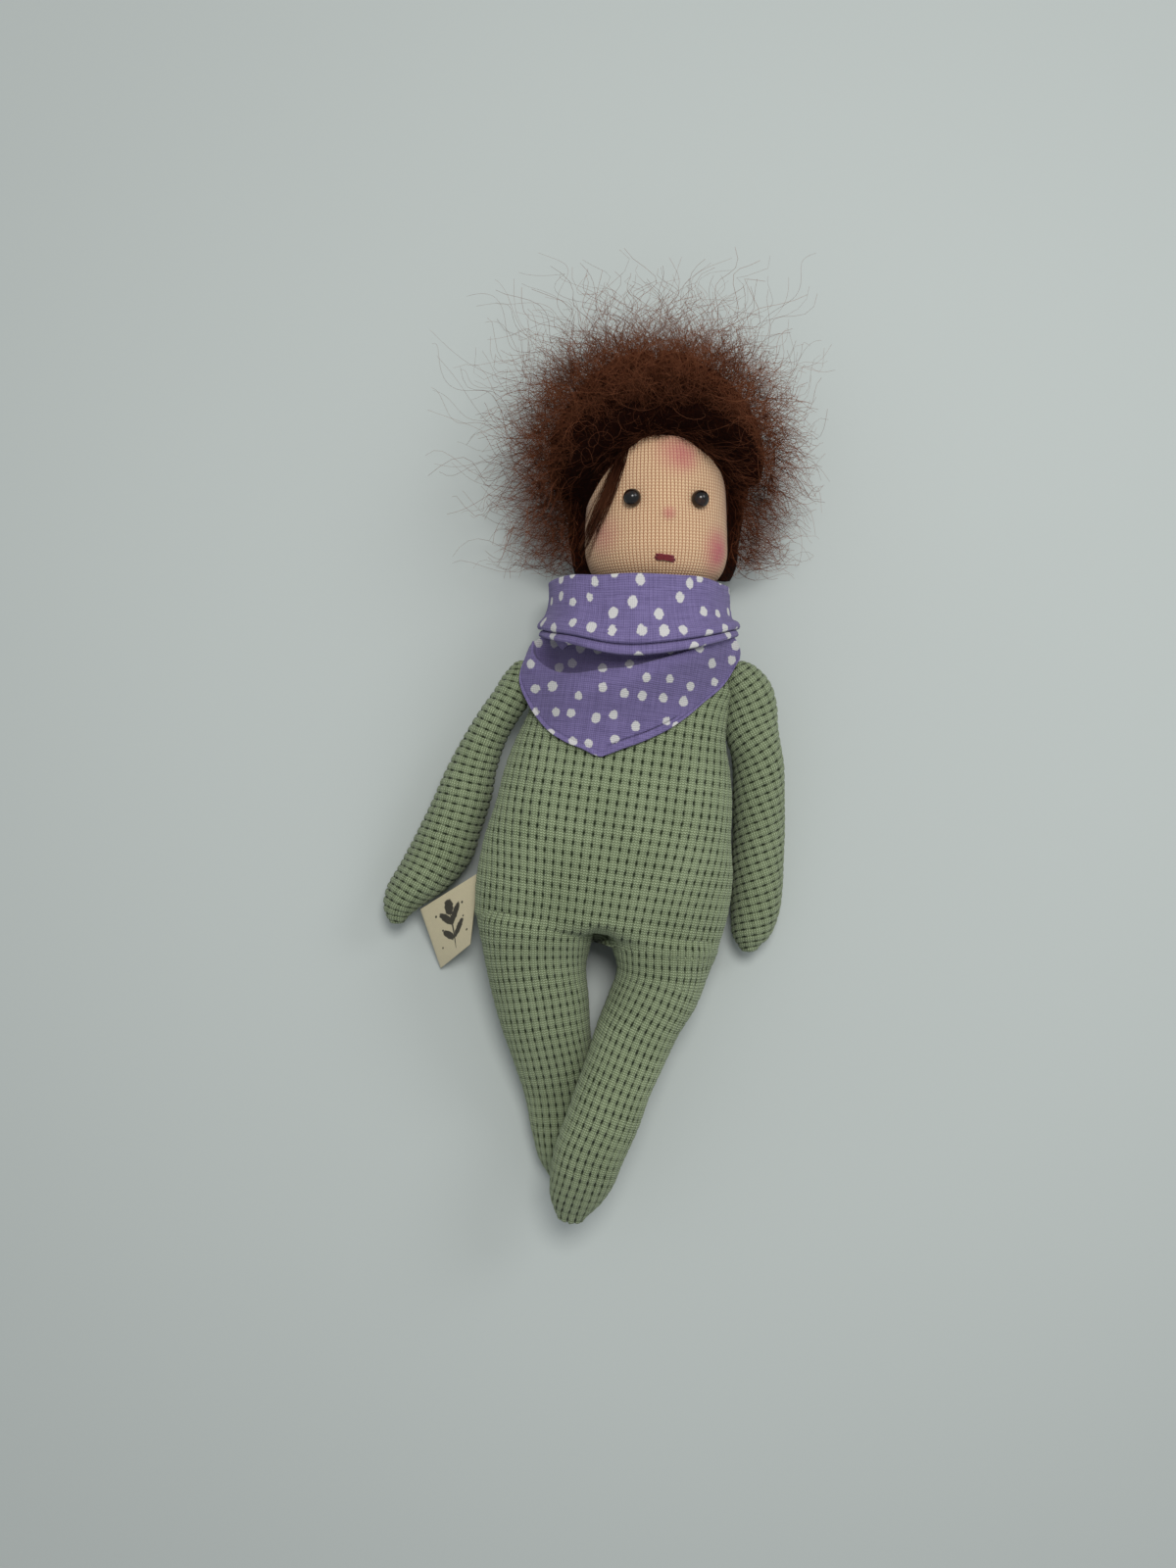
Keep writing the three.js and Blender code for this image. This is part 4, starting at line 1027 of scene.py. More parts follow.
# Twill: fine slanted ribs; and a plain sprig of leaves with dots, each leaf an ellipse.
def tapeFinish():
    f = Finish("twillTape", Roughness=0.85, Sheen_Weight=0.1, Specular_IOR_Level=0.25)
    u, w = f.cells()                                     # mm from the fold, and mm down the tape
    at = f.place()
    rib = (u * 1.1 + w * 1.9).ply()
    weft = (w * 2.6).ply()
    base = linear(*label["cream"])
    worn = rib * 0.35 + weft * 0.25 + f.noise(at, 0.8, 3.0) * 0.3
    colour = f.mix(worn, base, scaled(base, 0.72))
    wobble = (f.noise(at, 0.9, 2.0) - 0.5) * 0.5
    ink = None
    dots = [(x, y, 0.0, radius, radius) for x, y, radius in label["dots"]]
    for cx, cy, angle, wide, high in label["leaves"] + dots:
        x, y = u - cx, w - cy
        a = (x * math.cos(angle) + y * math.sin(angle)) / wide
        b = (y * math.cos(angle) - x * math.sin(angle)) / high
        inside = 1 - ((a * a + b * b).root() + wobble).ease(0.85, 1.05)
        ink = inside if ink is None else ink.most(inside)
    colour = f.mix(ink * f.field("front") * (0.88 + rib * 0.1), colour, linear(*label["dark"]))
    return f.finish(colour, rib * 0.6 + weft * 0.5, 0.16, 0.8)


# The tape as one run: s from one seam end round the fold to the other, t down its width.
s = np.linspace(-1, 1, label["columns"])
t = np.linspace(0, 1, label["rows"])
corner = {k: np.array(label[k]) for k in ("seamTop", "seamBottom", "foldTop", "foldBottom")}
seamLine = corner["seamTop"] + (corner["seamBottom"] - corner["seamTop"]) * t[:, None]
foldLine = corner["foldTop"] + (corner["foldBottom"] - corner["foldTop"]) * t[:, None]
inward = np.abs(s)[None, :, None] ** 1.1
tape = foldLine[:, None] + (seamLine - foldLine)[:, None] * inward
width = np.linalg.norm(foldLine - seamLine, axis=1)[:, None]
curl = 1.1 * np.sin(math.pi * np.abs(s))[None, :] * (0.4 + 0.6 * t[:, None])
curl -= 0.5 * t[:, None] * (1 - np.abs(s))
split = np.sign(s) * np.sqrt(np.clip(1 - (1 - np.clip(np.abs(s) / 0.08, 0, 1)) ** 2, 0, 1))
tape[..., 2] += curl * 0.6 + split[None, :] * label["gap"] / 2 - 0.75
tape[..., 2] += 0.12 * np.sin(t * 9)[:, None] * (1 - np.abs(s))[None, :]
tape[..., 2] = np.maximum(tape[..., 2], 0.35 + 0.3 * split[None, :])
down = np.linalg.norm(foldLine - foldLine[0], axis=1)[:, None]
uv = np.stack([np.abs(s)[None, :] * width, down + 0 * s], -1)
front = np.broadcast_to(ease(0.0, 0.02, s), tape.shape[:2])
tapeLabel = makeMesh("sideTape", tape, [gridFaces(*tape.shape[:2])], tapeFinish(), uv=uv,
                     fields={"front": front})
thicken(tapeLabel, label["wall"])
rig.ride(tapeLabel, "label")
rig.replaces(tapeLabel, "side_label")
tapeWidth = float(np.linalg.norm(corner["foldBottom"] - corner["foldTop"])) * mm
tapeRun = 2 * float(width.mean()) * mm
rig.sheet(tapeLabel, flat=(round(tapeWidth, 4), round(tapeRun, 4)), held="folded",
         rests_on=["bodyKnit"])
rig.slot(tapeLabel, "tape")
print("label folded, flat", tapeWidth, tapeRun)

# Scarf: a soft wrap round the neck that ends in two rolled folds, and a pointed front drape.
scarf = {
    "middle": (16.0, 27.5), "halfWidth": 30.2, "halfDepth": 25.8,
    "top": 59.4, "height": 21.6, "drop": 9.0,
    "roll": 4.2, "frontRoll": 0.9, "backRoll": 0.15, "rows": 120, "columns": 301, "wall": 0.5,
    "tautSteps": 120, "reach": math.radians(76),  # how far round the drape starts
    "wrap": [  # run, up, out: inner lip, top edge, band, first fold, second fold, under edge
        [0, 0.8, -0.3], [0.05, 0.93, -0.2], [0.085, 0.995, -0.02], [0.11, 0.99, 0.1],
        [0.16, 0.94, 0.12], [0.3, 0.75, 0.14], [0.44, 0.55, 0.28], [0.53, 0.43, 0.55],
        [0.59, 0.36, 0.85], [0.625, 0.315, 0.98], [0.655, 0.275, 0.97], [0.68, 0.258, 0.8],
        [0.7, 0.262, 0.58], [0.73, 0.285, 0.4], [0.77, 0.24, 0.5], [0.82, 0.215, 0.74],
        [0.86, 0.18, 0.86], [0.895, 0.15, 0.84], [0.92, 0.137, 0.66], [0.95, 0.145, 0.42],
        [1, 0.14, 0.1]],
    "hem": [  # s across the drape, x, y of the cut edge
        [-1, -22.0, 35.5], [-0.86, -24.8, 26.0], [-0.73, -21.6, 17.5], [-0.6, -16.6, 10.3],
        [-0.4, -9.6, 4.9], [-0.22, -3.3, 2.2], [-0.1, 1.2, 0.0], [-0.05, 2.9, -0.4],
        [0.0, 4.8, 0.2], [0.1, 9.4, 2.0], [0.3, 17.3, 4.9], [0.55, 27.8, 10.2],
        [0.8, 38, 18.2], [0.92, 45.6, 25.2], [1, 50.4, 33.0]],
    "rim": [  # s across the drape, share down it, height of the fold's rim
        [-1, 0.5, 1.0], [-0.78, 0.52, 4.2], [-0.5, 0.42, 4.8], [-0.2, 0.27, 4.0],
        [0.1, 0.19, 3.0], [0.45, 0.12, 1.8], [1, 0.06, 0.6]],
    "ground": (114, 103, 145), "shade": (92, 82, 122), "dot": (205, 203, 200), "dotPitch": 7.4,
}


def scarfFinish():
    f = Finish("dottedCotton", Roughness=0.88, Sheen_Weight=0.08, Specular_IOR_Level=0.2)
    u, w = f.cells()                                     # mm across and down the cloth
    at = f.place()
    warp, weft = ((way * 1.55 + (f.noise(at, 0.4) - 0.5) * 0.8).ply() for way in (u, w))
    slub = f.noise(f.join(u * 0.1, w * 1.4), 1.0, 3.0) + f.noise(f.join(u * 1.4, w * 0.1), 1.0, 3.0)
    fuzz = (f.noise(at, 2.2, 4.0, 0.7) - 0.5) * 0.5
    tone = warp * 0.28 + weft * 0.28 + (slub - 1.0) * 0.9 + 0.28 + fuzz
    ground, shade, dot = (linear(*scarf[k]) for k in ("ground", "shade", "dot"))
    colour = f.mix(tone.ease(0.0, 1.0), shade, scaled(ground, 1.22))
    wave = f.noise(at, 0.5, 2.0) - 0.5
    pitch = scarf["dotPitch"]
    spread = f.join(u / pitch + wave * 0.16, w / pitch * 0.93 + wave * 0.12, 0.37)
    nearest = f.node("ShaderNodeTexVoronoi", out="Distance", settings={"voronoi_dimensions": "2D"},
                     Vector=spread, Scale=1.0, Randomness=0.62)
    ragged = (f.noise(at, 1.6, 3.0) - 0.5) * 0.1
    spot = 1 - (nearest + ragged + (f.noise(at, 0.09) - 0.5) * 0.16).ease(0.17, 0.215)
    colour = f.mix(spot * (0.9 + warp * 0.08), colour, dot)
    # Painted shade in the fold's hollow, read from the drape's field.
    colour = f.mix(f.field("hollow") * 0.75, colour, scaled(shade, 0.42))
    return f.finish(colour, warp + weft + slub * 0.4, 0.14, 0.7)


dotted = scarfFinish()


# A point of the wrap at a turn from the front, with up and outward shares.
def wrapPoint(turn, up, out):
    front, back = np.maximum(np.cos(turn), 0) ** 2, np.maximum(-np.cos(turn), 0) ** 0.5
    share = 1 - (1 - scarf["frontRoll"]) * front - (1 - scarf["backRoll"]) * back
    offset = out * np.where(out > 0, scarf["roll"] * share, scarf["roll"])
    x = scarf["middle"][0] + (scarf["halfWidth"] + offset) * np.sin(turn)
    y = scarf["top"] - (1 - up) * (scarf["height"] + scarf["drop"] * front)
    z = scarf["middle"][1] + (scarf["halfDepth"] + offset) * np.cos(turn)
    return np.stack([x, y, z], -1)


run = np.linspace(0, 1, scarf["rows"])
turn = np.linspace(-math.pi, math.pi, scarf["columns"])
up, out = rowsAt(scarf["wrap"], run).T
circle = np.stack([np.sin(turn), np.cos(turn)], -1)
wavy, sway = waves(circle, 1.1, 6, 81)[None, :], waves(circle, 0.8, 6, 82)[None, :]
band = np.exp(-((run - 0.3) / 0.16) ** 2)[:, None]
lower = ease(0.45, 0.62, run)[:, None]
upAll = up[:, None] + 0.035 * wavy * lower
upAll = upAll + 0.03 * sway * (1 - lower) * ease(0.0, 0.1, run)[:, None]
sag = ease(0.5, 1.4, turn)[None, :] * (1 - ease(1.4, 2.6, turn))[None, :]
upAll = upAll - 0.09 * sag * (1 - lower)
outAll = out[:, None] + 0.22 * sway * band + 0.12 * wavy * lower
# At the back and sides the under edge is tucked to the shoulders.
skirt = ease(0.955, 1.0, run)[:, None] * (1 - ease(0.1, 0.75, np.cos(turn)))[None, :]
upAll, outAll = upAll - 0.36 * skirt, outAll - 0.9 * skirt
wrap = wrapPoint(turn[None, :] + 0 * run[:, None], upAll, outAll)
crease = waves(wrap * [1, 2.2, 1], 13.0, 8, 83) * 0.22
crease = crease + waves(wrap * [0.6, 3.0, 0.6], 6.0, 8, 84) * 0.08
ring = (wrap - [scarf["middle"][0], 0, scarf["middle"][1]]) * [1, 0, 1]
wrap = wrap + unit(ring) * crease[..., None]
wrap[..., 2] = np.maximum(wrap[..., 2], 0.5)
down = np.concatenate([[0], np.cumsum(np.linalg.norm(np.diff(wrap, axis=0), axis=2).mean(1))])
uv = np.stack([turn[None, :] * 29.0 + 0 * run[:, None] + 3.0, -down[:, None] + 0 * turn], -1)
girth = float(runAlong(wrap[36])[-1])  # of the band's middle


# A sheet of the scarf with its faces outward from the neck. flat is in metres.
def clothSheet(name, points, uv, flat, held, on, area=None, fields=None):
    faces = gridFaces(*points.shape[:2])
    away = points - [scarf["middle"][0], points[..., 1].mean(), 20.0]
    if np.einsum("ijk,ijk->", gridNormals(points, False), away) < 0:
        faces = faces[:, ::-1]
    piece = makeMesh(name, points, [faces], dotted, uv=uv, fields=fields)
    thicken(piece, scarf["wall"])
    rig.ride(piece, "torso")
    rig.sheet(piece, flat=flat, held=held, rests_on=on, area=area)
    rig.slot(piece, "scarf")
    return piece


flat = (round(girth * mm, 4), round(float(down[-1]) * mm, 4))
neckWrap = clothSheet("neckWrap", wrap, uv, flat, "folded", ["neck_core", "headJersey"])
print("wrap flat", girth, down[-1])


# Height of the body's front under a plan point, and of the arm tops beside it.
def bodyFront(x, y):
    dx, dy = x - spine["hipX"], y - spine["hipY"]
    c, s = math.cos(spine["lean"]), math.sin(spine["lean"])
    u, v = dx * c - dy * s, dx * s + dy * c
    share = rowsAt(body["shares"], np.clip(v / body["length"], 0, 1))
    width, depth, aside, lifted = np.moveaxis(share, -1, 0)
    side = np.minimum(np.abs(u - aside * body["width"]) / (width * body["width"] / 2), 0.97)
    rise = (1 - side ** body["power"]) ** (1 / body["power"])
    z = (depth / 2 + lifted) * body["depth"] - body["restCut"] + depth * body["depth"] / 2 * rise
    for limb in (leftArm, rightArm):
        away = np.clip(1 - ((x - limb["at"][0]) / 8.6) ** 2, 0, 1)
        z = np.maximum(z, (arm["z"] + 8.0 * np.sqrt(away)) * (away > 0) * (y < 36))
    return z


s, t = np.linspace(-1, 1, 201), np.linspace(0, 1, 111)
hemX, hemY = rowsAt(scarf["hem"], s).T
tr, rimHigh = rowsAt(scarf["rim"], s).T
topLine = wrapPoint(s * scarf["reach"], 0.2 + 0 * s, 0.3 + 0 * s)
x = topLine[:, 0, None] + (hemX - topLine[:, 0])[:, None] * t
y = topLine[:, 1, None] + (hemY - topLine[:, 1])[:, None] * t
x += 1.6 * np.sign(s)[:, None] * np.abs(s)[:, None] ** 3 * np.sin(math.pi * t)[None, :]
under = bodyFront(x, y) + 1.0
z = topLine[:, 2, None] + (under[:, -1] - topLine[:, 2])[:, None] * (1 - (1 - t) ** 1.6)[None, :]
z = np.maximum(z, under)
# The cloth spans hollows like a taut film resting on what is under it.
for _ in range(scarf["tautSteps"]):
    mean = (z[2:, 1:-1] + z[:-2, 1:-1] + z[1:-1, 2:] + z[1:-1, :-2]) / 4
    z[1:-1, 1:-1] = np.maximum(under[1:-1, 1:-1], mean)
    z[0], z[-1], z[:, -1] = z[1], z[-2], np.maximum(under[:, -1], z[:, -2])
# The fold: a rim that runs over it, a hollow above the rim, and its edge drawn up; the hollow is also painted with
# shade.
gapT = t[None, :] - tr[:, None]
rim = np.where(gapT < 0, np.exp(-(gapT / 0.05) ** 2), np.exp(-(gapT / 0.4) ** 2))
z += rimHigh[:, None] * rim * ease(0.0, 0.06, t)[None, :]
high = rimHigh[:, None] / 4.6
z -= 4.0 * high * np.exp(-((t[None, :] - tr[:, None] * 0.55) / (0.4 * tr[:, None] + 0.02)) ** 2)
y = y + 2.6 * high * np.exp(-((gapT - 0.02) / 0.05) ** 2)
# Painted shade: a field that darkens the cloth in the hollow above the rim.
hollow = high * np.exp(-((t[None, :] - tr[:, None] * 0.45) / (0.5 * tr[:, None] + 0.02)) ** 4)
# The hem: a stitched line beside the cut edge, and one flap that stands off the cloth.
edge = (1 - t)[None, :] * np.hypot(hemX - topLine[:, 0], hemY - topLine[:, 1])[:, None]
flap = (ease(-0.05, 0.02, s) * (1 - ease(0.45, 0.62, s)))[:, None]
z -= 0.35 * np.exp(-((edge - 1.7) / 0.35) ** 2) + 0.9 * flap * np.exp(-((edge - 3.4) / 0.5) ** 2)
z += flap * 1.1 * np.exp(-((edge - 1.6) / 1.5) ** 2) + 0.5 * np.exp(-(edge / 0.9) ** 2)
field = np.stack([x, y], -1)
z += waves(field * [0.6, 1.3], 11.0, 8, 85) * 0.3 + waves(field * [0.8, 1.6], 5.0, 8, 86) * 0.1
drape = np.stack([x, y, np.maximum(z, bodyFront(x, y) + 0.8)], -1)
uv = np.stack([x * 0.99 - 0.12 * y + 40, y * 0.99 + 0.12 * x + 5], -1)
cut = np.cross(np.diff(drape, axis=0)[:, :-1], np.diff(drape, axis=1)[:-1])
area = float(np.linalg.norm(cut, axis=-1).sum()) * mm * mm
clothSheet("frontDrape", drape, uv, (0.078, 0.045), "draped", ["bodyKnit"],
           area=round(area * 0.97, 6), fields={"hollow": hollow})
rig.replaces(neckWrap, "scarf")
print("drape area", area)

# Knot at the nape: a lobe crossed by a band, and two short tails pressed flat.
knot = {"at": (18.4, 33.0, 2.2), "wide": 7.4, "high": 3.4, "deep": 1.8}
ps, rs = np.meshgrid(np.linspace(0, math.pi, 49), np.linspace(0, 2 * math.pi, 65), indexing="ij")
pleat = 1 + 0.06 * np.cos(9 * rs) * np.sin(ps) + 0.08 * np.exp(-((ps - math.pi / 2) / 0.3) ** 2)
lobe = np.stack([np.cos(ps) * knot["wide"], np.sin(ps) * np.cos(rs) * knot["high"] * pleat,
                 np.sin(ps) * np.sin(rs) * knot["deep"] * np.minimum(pleat, 1.04)], -1) + knot["at"]
parts = [tubeParts(lobe, False)]
a, b = np.linspace(0, 1, 30)[:, None], np.linspace(-math.pi, math.pi, 33)[None, :]
wide = (1.9 + 1.5 * a) * (1 - 0.9 * ease(0.9, 1.0, a))
flatZ = 1.7 + 0.45 * np.sin(b) * (1 - 0.9 * ease(0.93, 1, a)) + 0.25 * np.sin(9 * a)
for side in (-1, 1):
    tailX = knot["at"][0] + side * (5 + 9 * a)
    tailY = knot["at"][1] - 4.5 * a ** 1.5
    parts.append(tubeParts(np.stack([tailX + 0 * b, tailY + wide * np.cos(b), flatZ], -1)))
points, faces = joined(parts)
napeKnot = makeMesh("napeKnot", points, faces, dotted, uv=points[:, :2])
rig.ride(napeKnot, "torso")
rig.replaces(napeKnot, "scarf_knot")
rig.slot(napeKnot, "scarf")
print("scarf wrapped")

# Hair: a crocheted cap on the head, a dark felted core on it, and brushed curly strands.
hair = {
    "strands": 3300, "thick": 0.08, "seed": 11, "middle": (17.0, 97.0),
    "low": (-57.0, 57.0), "high": (82.0, 171.0), "topZ": 58.0,
    "coat": 3700, "coatSegments": 11, "lock": 190, "tufts": 900, "wisps": 190,
    "kinds": {  # segments, radius of the curl, shortest and longest turn
        "strand": (25, 4.8, 9, 18), "tuft": (10, 1.3, 8, 15), "wisp": (56, 4.5, 18, 40)},
    "faceLeft": -4.5, "faceRight": 47.5, "faceFoot": 40,
    "gridAt": (-50, 50), "grid": (140, 100),  # the coat's height field, in cells of 1 mm
    "dark": (19, 4, 1), "brown": (88, 36, 10), "tip": (156, 100, 72),
    "fringe": [  # x, y of the hair's edge over the face
        [-4, 79], [-1.5, 85.5], [1, 89.5], [5, 94.5], [9.5, 98.5], [13, 101.8], [17, 104.4],
        [24, 105.4], [31, 104.6], [36, 101.5], [41, 98], [44.5, 93], [47, 84], [48.5, 74]],
}


# How far a plan point lies inside the open face, in mm: below the fringe and between the sides.
def faceDepth(x, y):
    top = rowsAt(hair["fringe"], x)[..., 0]
    return np.minimum(np.minimum(top - y, x - hair["faceLeft"]),
                      np.minimum(hair["faceRight"] - x, y - hair["faceFoot"]))


def hairFinish(name, felt=False):
    f = Finish(name, Roughness=0.85, Specular_IOR_Level=0.05)
    at = f.place()
    dark, brown, tip = (linear(*hair[k]) for k in ("dark", "brown", "tip"))
    # Painted shade: the hair darkens towards a point by the fringe, where it lies densest; patchy adds random darker
    # patches.
    near = f.spot(at, (22, 88, 46), 45, 0.45)
    patchy = f.noise(at, 0.09, 2.0).ease(0.3, 0.75)
    if felt:
        strands = f.noise(at, 0.9, 6.0, 0.8)
        colour = f.mix((strands.ease(0.4, 0.75) * 0.7).least(1.0), dark, brown)
        return f.finish(f.mix((near * 0.8).most(patchy * 0.3), colour, dark), strands, 1.2, 1.0)
    along, tint = f.field("along"), f.field("tint")
    colour = f.mix((along * 0.9 + tint * 0.35).least(1.0), dark, brown)
    colour = f.mix((along * (tint * 0.6 + 0.4)).least(1.0), colour, tip)
    shade = (near * (1.02 - tint * 0.5) * 0.85 + patchy * 0.2).least(1.0)
    return f.finish(f.mix(shade, colour, dark))


# Lowest y of the hair at a height: it rises towards the nape, so the head can nod above the scarf.
def nape(z):
    return 59.0 + 0.2 * np.maximum(27.5 - z, 0)


# Cap and core: the egg pushed out by a thickness, a formula of how far to the side and how far up
# a point lies, which falls to nothing at the face.
def headShell(name, rows, columns, thickness, inner, material, salt, rough):
    ring, middle, run = headRings(rows, columns, low=0.2)
    away = gridNormals(ring, True)
    away *= np.sign((away * (ring - middle[:, None])).sum())
    angle = np.arctan2(ring[..., 2] - middle[:, None, 2], ring[..., 0] - middle[:, None, 0])
    upper = ease(0.2, 0.8, (ring[..., 1] - head["foot"]) / head["length"])
    bare = ease(-3.5, 0.8, faceDepth(ring[..., 0], ring[..., 1])) * ease(18.0, 30.0, ring[..., 2])
    lumps = (waves(ring, 13.0, 8, salt) * 0.5 + waves(ring, 5.0, 10, salt + 1) * 0.35) * rough
    size = (thickness(np.abs(np.cos(angle)), upper) + lumps) * (1 - bare)
    points = ring + away * (size + inner * bare)[..., None]
    points[..., 2] = np.minimum(np.maximum(points[..., 2], 0.9), hair["topZ"] - 2.5)
    points[..., 1] = np.maximum(points[..., 1], nape(points[..., 2]) + 0.3)
    piece = tubePiece(name, points, material, uv=tubeUv(100, run, columns))
    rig.ride(piece, "head")
    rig.padded(piece, fill=0.8)
    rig.slot(piece, "hair")
    return piece, points


cap, _ = headShell("crochetCap", 100, 121, lambda side, upper: 1.3,
                   -0.9, gauzeFinish("crochetYarn", (52, 26, 16)), 90, 0.3)
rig.replaces(cap, "hair_cap")
core, corePoints = headShell(
    "hairCore", 130, 161,
    lambda side, upper: 3.2 + 8.5 * side ** 1.3 * (0.4 + 0.6 * upper) + 3.4 * upper ** 2,
    -1.1, hairFinish("feltedHair", True), 92, 1.8)
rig.replaces(core, "hair")
fibre = hairFinish("brushedHair")


# Three-sided tapering tubes along many paths at once: (strands, segments, 3) to one mesh.
def strandMesh(name, paths, radius, tint):
    count, steps = paths.shape[:2]
    tangent = unit(np.gradient(paths, axis=1))
    side = unit(np.cross(tangent, [0.31, 0.17, 0.93]))
    up = np.cross(side, tangent)
    q = 2 * math.pi * np.arange(3) / 3
    size = radius[:, None, None] * np.linspace(1, 0.45, steps)[None, :, None]
    away = side[:, :, None] * np.cos(q)[:, None] + up[:, :, None] * np.sin(q)[:, None]
    points = (paths[:, :, None] + away * size[..., None]).reshape(-1, 3)
    first = np.arange(count) * steps * 3
    last = first + (steps - 1) * 3
    low = first[:, None, None] + np.arange(steps - 1)[None, :, None] * 3
    j = np.arange(3)[None, None, :]
    k = (j + 1) % 3
    quads = np.stack([low + j, low + k, low + 3 + k, low + 3 + j], -1).reshape(-1, 4)
    ends = np.concatenate([np.stack([first, first + 2, first + 1], -1),
                           np.stack([last, last + 1, last + 2], -1)])
    along = np.broadcast_to(np.linspace(0, 1, steps)[None, :, None], (count, steps, 3))
    shade = np.broadcast_to(tint[:, None, None], (count, steps, 3))
    piece = makeMesh(name, points, [quads, ends], fibre, fields={"along": along, "tint": shade})
    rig.ride(piece, "head")
    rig.slot(piece, "hair")


# A value kept between two bounds, bending softly over the last few mm.
def within(value, low, high, soft):
    value = low + np.logaddexp(0, (value - low) / soft) * soft
    return high - np.logaddexp(0, (high - value) / soft) * soft


# Paths kept outside the head, above the floor and below the hair's top.
def bounded(path):
    out = (path - [head["middle"][0], 0, head["middle"][1]]) * [1, 0, 1]
    far = np.maximum(np.linalg.norm(out, axis=2), 1e-6)
    sunk = np.maximum(headRadius(path[..., 1]) + 0.6 - far, 0)
    path = path + out / far[..., None] * sunk[..., None]
    path[..., 2] = within(path[..., 2], 0.25, hair["topZ"], 1.2)
    return path


# Paths: outward, bent by a random pull, wound into a helix that widens to the tip, then bounded.
def strandPaths(root, way, length, kind):
    n = len(root)
    steps, curl, shortest, longest = hair["kinds"][kind]
    t = np.linspace(0, 1, steps)[None, :, None]
    pull = r.normal(size=(n, 1, 3)) * [1, 1, 0.5] - [0, 0, 0.2]
    path = root[:, None] + way[:, None] * length[:, None, None] * (t - 0.1 * t ** 2)
    path = path + pull * length[:, None, None] * 0.34 * t ** 2
    e1 = unit(np.cross(way, r.normal(size=(n, 3)) * [0.6, 0.6, 1.4]))
    e2 = np.cross(way, e1)
    turns = length / r.uniform(shortest, longest, n) * r.choice([-1, 1], n)
    angle = 2 * math.pi * turns[:, None, None] * t * (0.75 + 0.25 * t)
    angle = angle + r.uniform(0, 6.28, (n, 1, 1))
    wide = curl * r.uniform(0.3, 1.3, (n, 1, 1)) * (0.08 + 0.92 * t)
    wide = wide * np.minimum(1, length[:, None, None] / 25)
    path = path + e1[:, None] * np.cos(angle) * wide
    return bounded(path + e2[:, None] * np.sin(angle) * wide * 0.85)


# Strands that cross the open face, or leave the room the hair may take.
def trespass(path, allowed):
    deep = faceDepth(path[..., 0], path[..., 1])
    crossing = ((deep > allowed) & (path[..., 2] > head["middle"][1] - 4)).any(1)
    low, high = np.array(hair["low"]), np.array(hair["high"])
    crossing |= (path[..., 1] < nape(path[..., 2])).any(1)
    return crossing | ((path[..., :2] < low) | (path[..., :2] > high)).any((1, 2))


r = np.random.default_rng(hair["seed"])
n = hair["strands"] * 3
t = r.uniform(0.22, 1.0, n) ** 0.9
q = r.uniform(-math.pi, math.pi, n)
radius = np.interp(t, *smoothProfile) * head["radius"]
slope = np.interp(t, fine, np.gradient(smoothProfile[1] * head["radius"], fine * head["length"]))
normal = unit(np.stack([np.cos(q), -np.clip(slope, -6, 6), np.sin(q)], -1))
root = np.stack([head["middle"][0] + radius * np.cos(q), head["foot"] + t * head["length"],
                 head["middle"][1] + radius * np.sin(q)], -1)
keep = (faceDepth(root[:, 0], root[:, 1]) < -0.5) | (root[:, 2] < head["middle"][1] - 2)
keep &= ((root[:, 2] > 12) | (r.uniform(size=n) < 0.35)) & (root[:, 1] > 62)
root, normal = root[keep], normal[keep]
plan = np.concatenate([(root[:, :2] - hair["middle"]) / 30, np.zeros((len(root), 1))], 1)
stray = r.normal(size=root.shape) * [0.42, 0.42, 0.3]
way = unit(normal * [1, 1, 0.75] + plan * 0.9 + stray + [0, 0.06, 0.04])
length = 41 + 5 * way[:, 1] - 6 * np.maximum(way[:, 0], 0)
length = length * (0.2 + 0.8 * r.beta(1.7, 1.9, len(root)))
paths = strandPaths(root, way, length, "strand")
paths = paths[~trespass(paths, 0.8)][:hair["strands"]]
print("strands kept", len(paths), "of", len(root))
for part in range(4):
    some = paths[part::4]
    strandMesh(f"hairStrands{part + 1}", some, hair["thick"] * r.uniform(0.75, 1.35, len(some)),
               r.uniform(0, 1, len(some)) ** 1.3)

# Coat: shorter strands lying on the core's front, their height read from the core below them.
span = np.zeros(hair["grid"])
cell = (corePoints[..., :2] - hair["gridAt"]).round().astype(int)
cell = np.clip(cell, 0, np.array(hair["grid"]) - 1)
np.maximum.at(span, (cell[..., 0], cell[..., 1]), corePoints[..., 2])
for _ in range(3):
    near = [np.roll(span, (a, b), (0, 1)) for a in (-1, 0, 1) for b in (-1, 0, 1)]
    span = np.where(span > 0, np.mean([np.where(k > 0, k, span) for k in near], 0), np.max(near, 0))


def coreHeight(x, y):
    x, y = (np.clip(at - low, 0, size - 1.01)
            for at, low, size in zip((x, y), hair["gridAt"], hair["grid"]))
    i, j = x.astype(int), y.astype(int)
    a, b = x - i, y - j
    near = span[i, j] * (1 - a) + span[i + 1, j] * a
    far = span[i, j + 1] * (1 - a) + span[i + 1, j + 1] * a
    return near * (1 - b) + far * b


n = hair["coat"] * 2
x, y = r.uniform(-22, 62, n), r.uniform(62, 136, n)
keep = (coreHeight(x, y) > 5) & (faceDepth(x, y) < 0.6)
x, y = x[keep][:hair["coat"]], y[keep][:hair["coat"]]
n = len(x)
a = np.linspace(0, 1, hair["coatSegments"])[None, :]
turn = np.arctan2(y - 92, x - 21)[:, None] + r.normal(size=(n, 1)) * 0.75
reach = r.uniform(8, 24, (n, 1))
wide = r.uniform(0.4, 2.2, (n, 1)) * a
angle = 2 * math.pi * reach / r.uniform(8, 20, (n, 1)) * a + r.uniform(0, 6.28, (n, 1))
bend = turn + r.normal(size=(n, 1)) * 0.9 * a
step = reach / hair["coatSegments"]
px = x[:, None] + np.cumsum(np.cos(bend), 1) * step - np.sin(turn) * np.cos(angle) * wide
py = y[:, None] + np.cumsum(np.sin(bend), 1) * step + np.cos(turn) * np.cos(angle) * wide
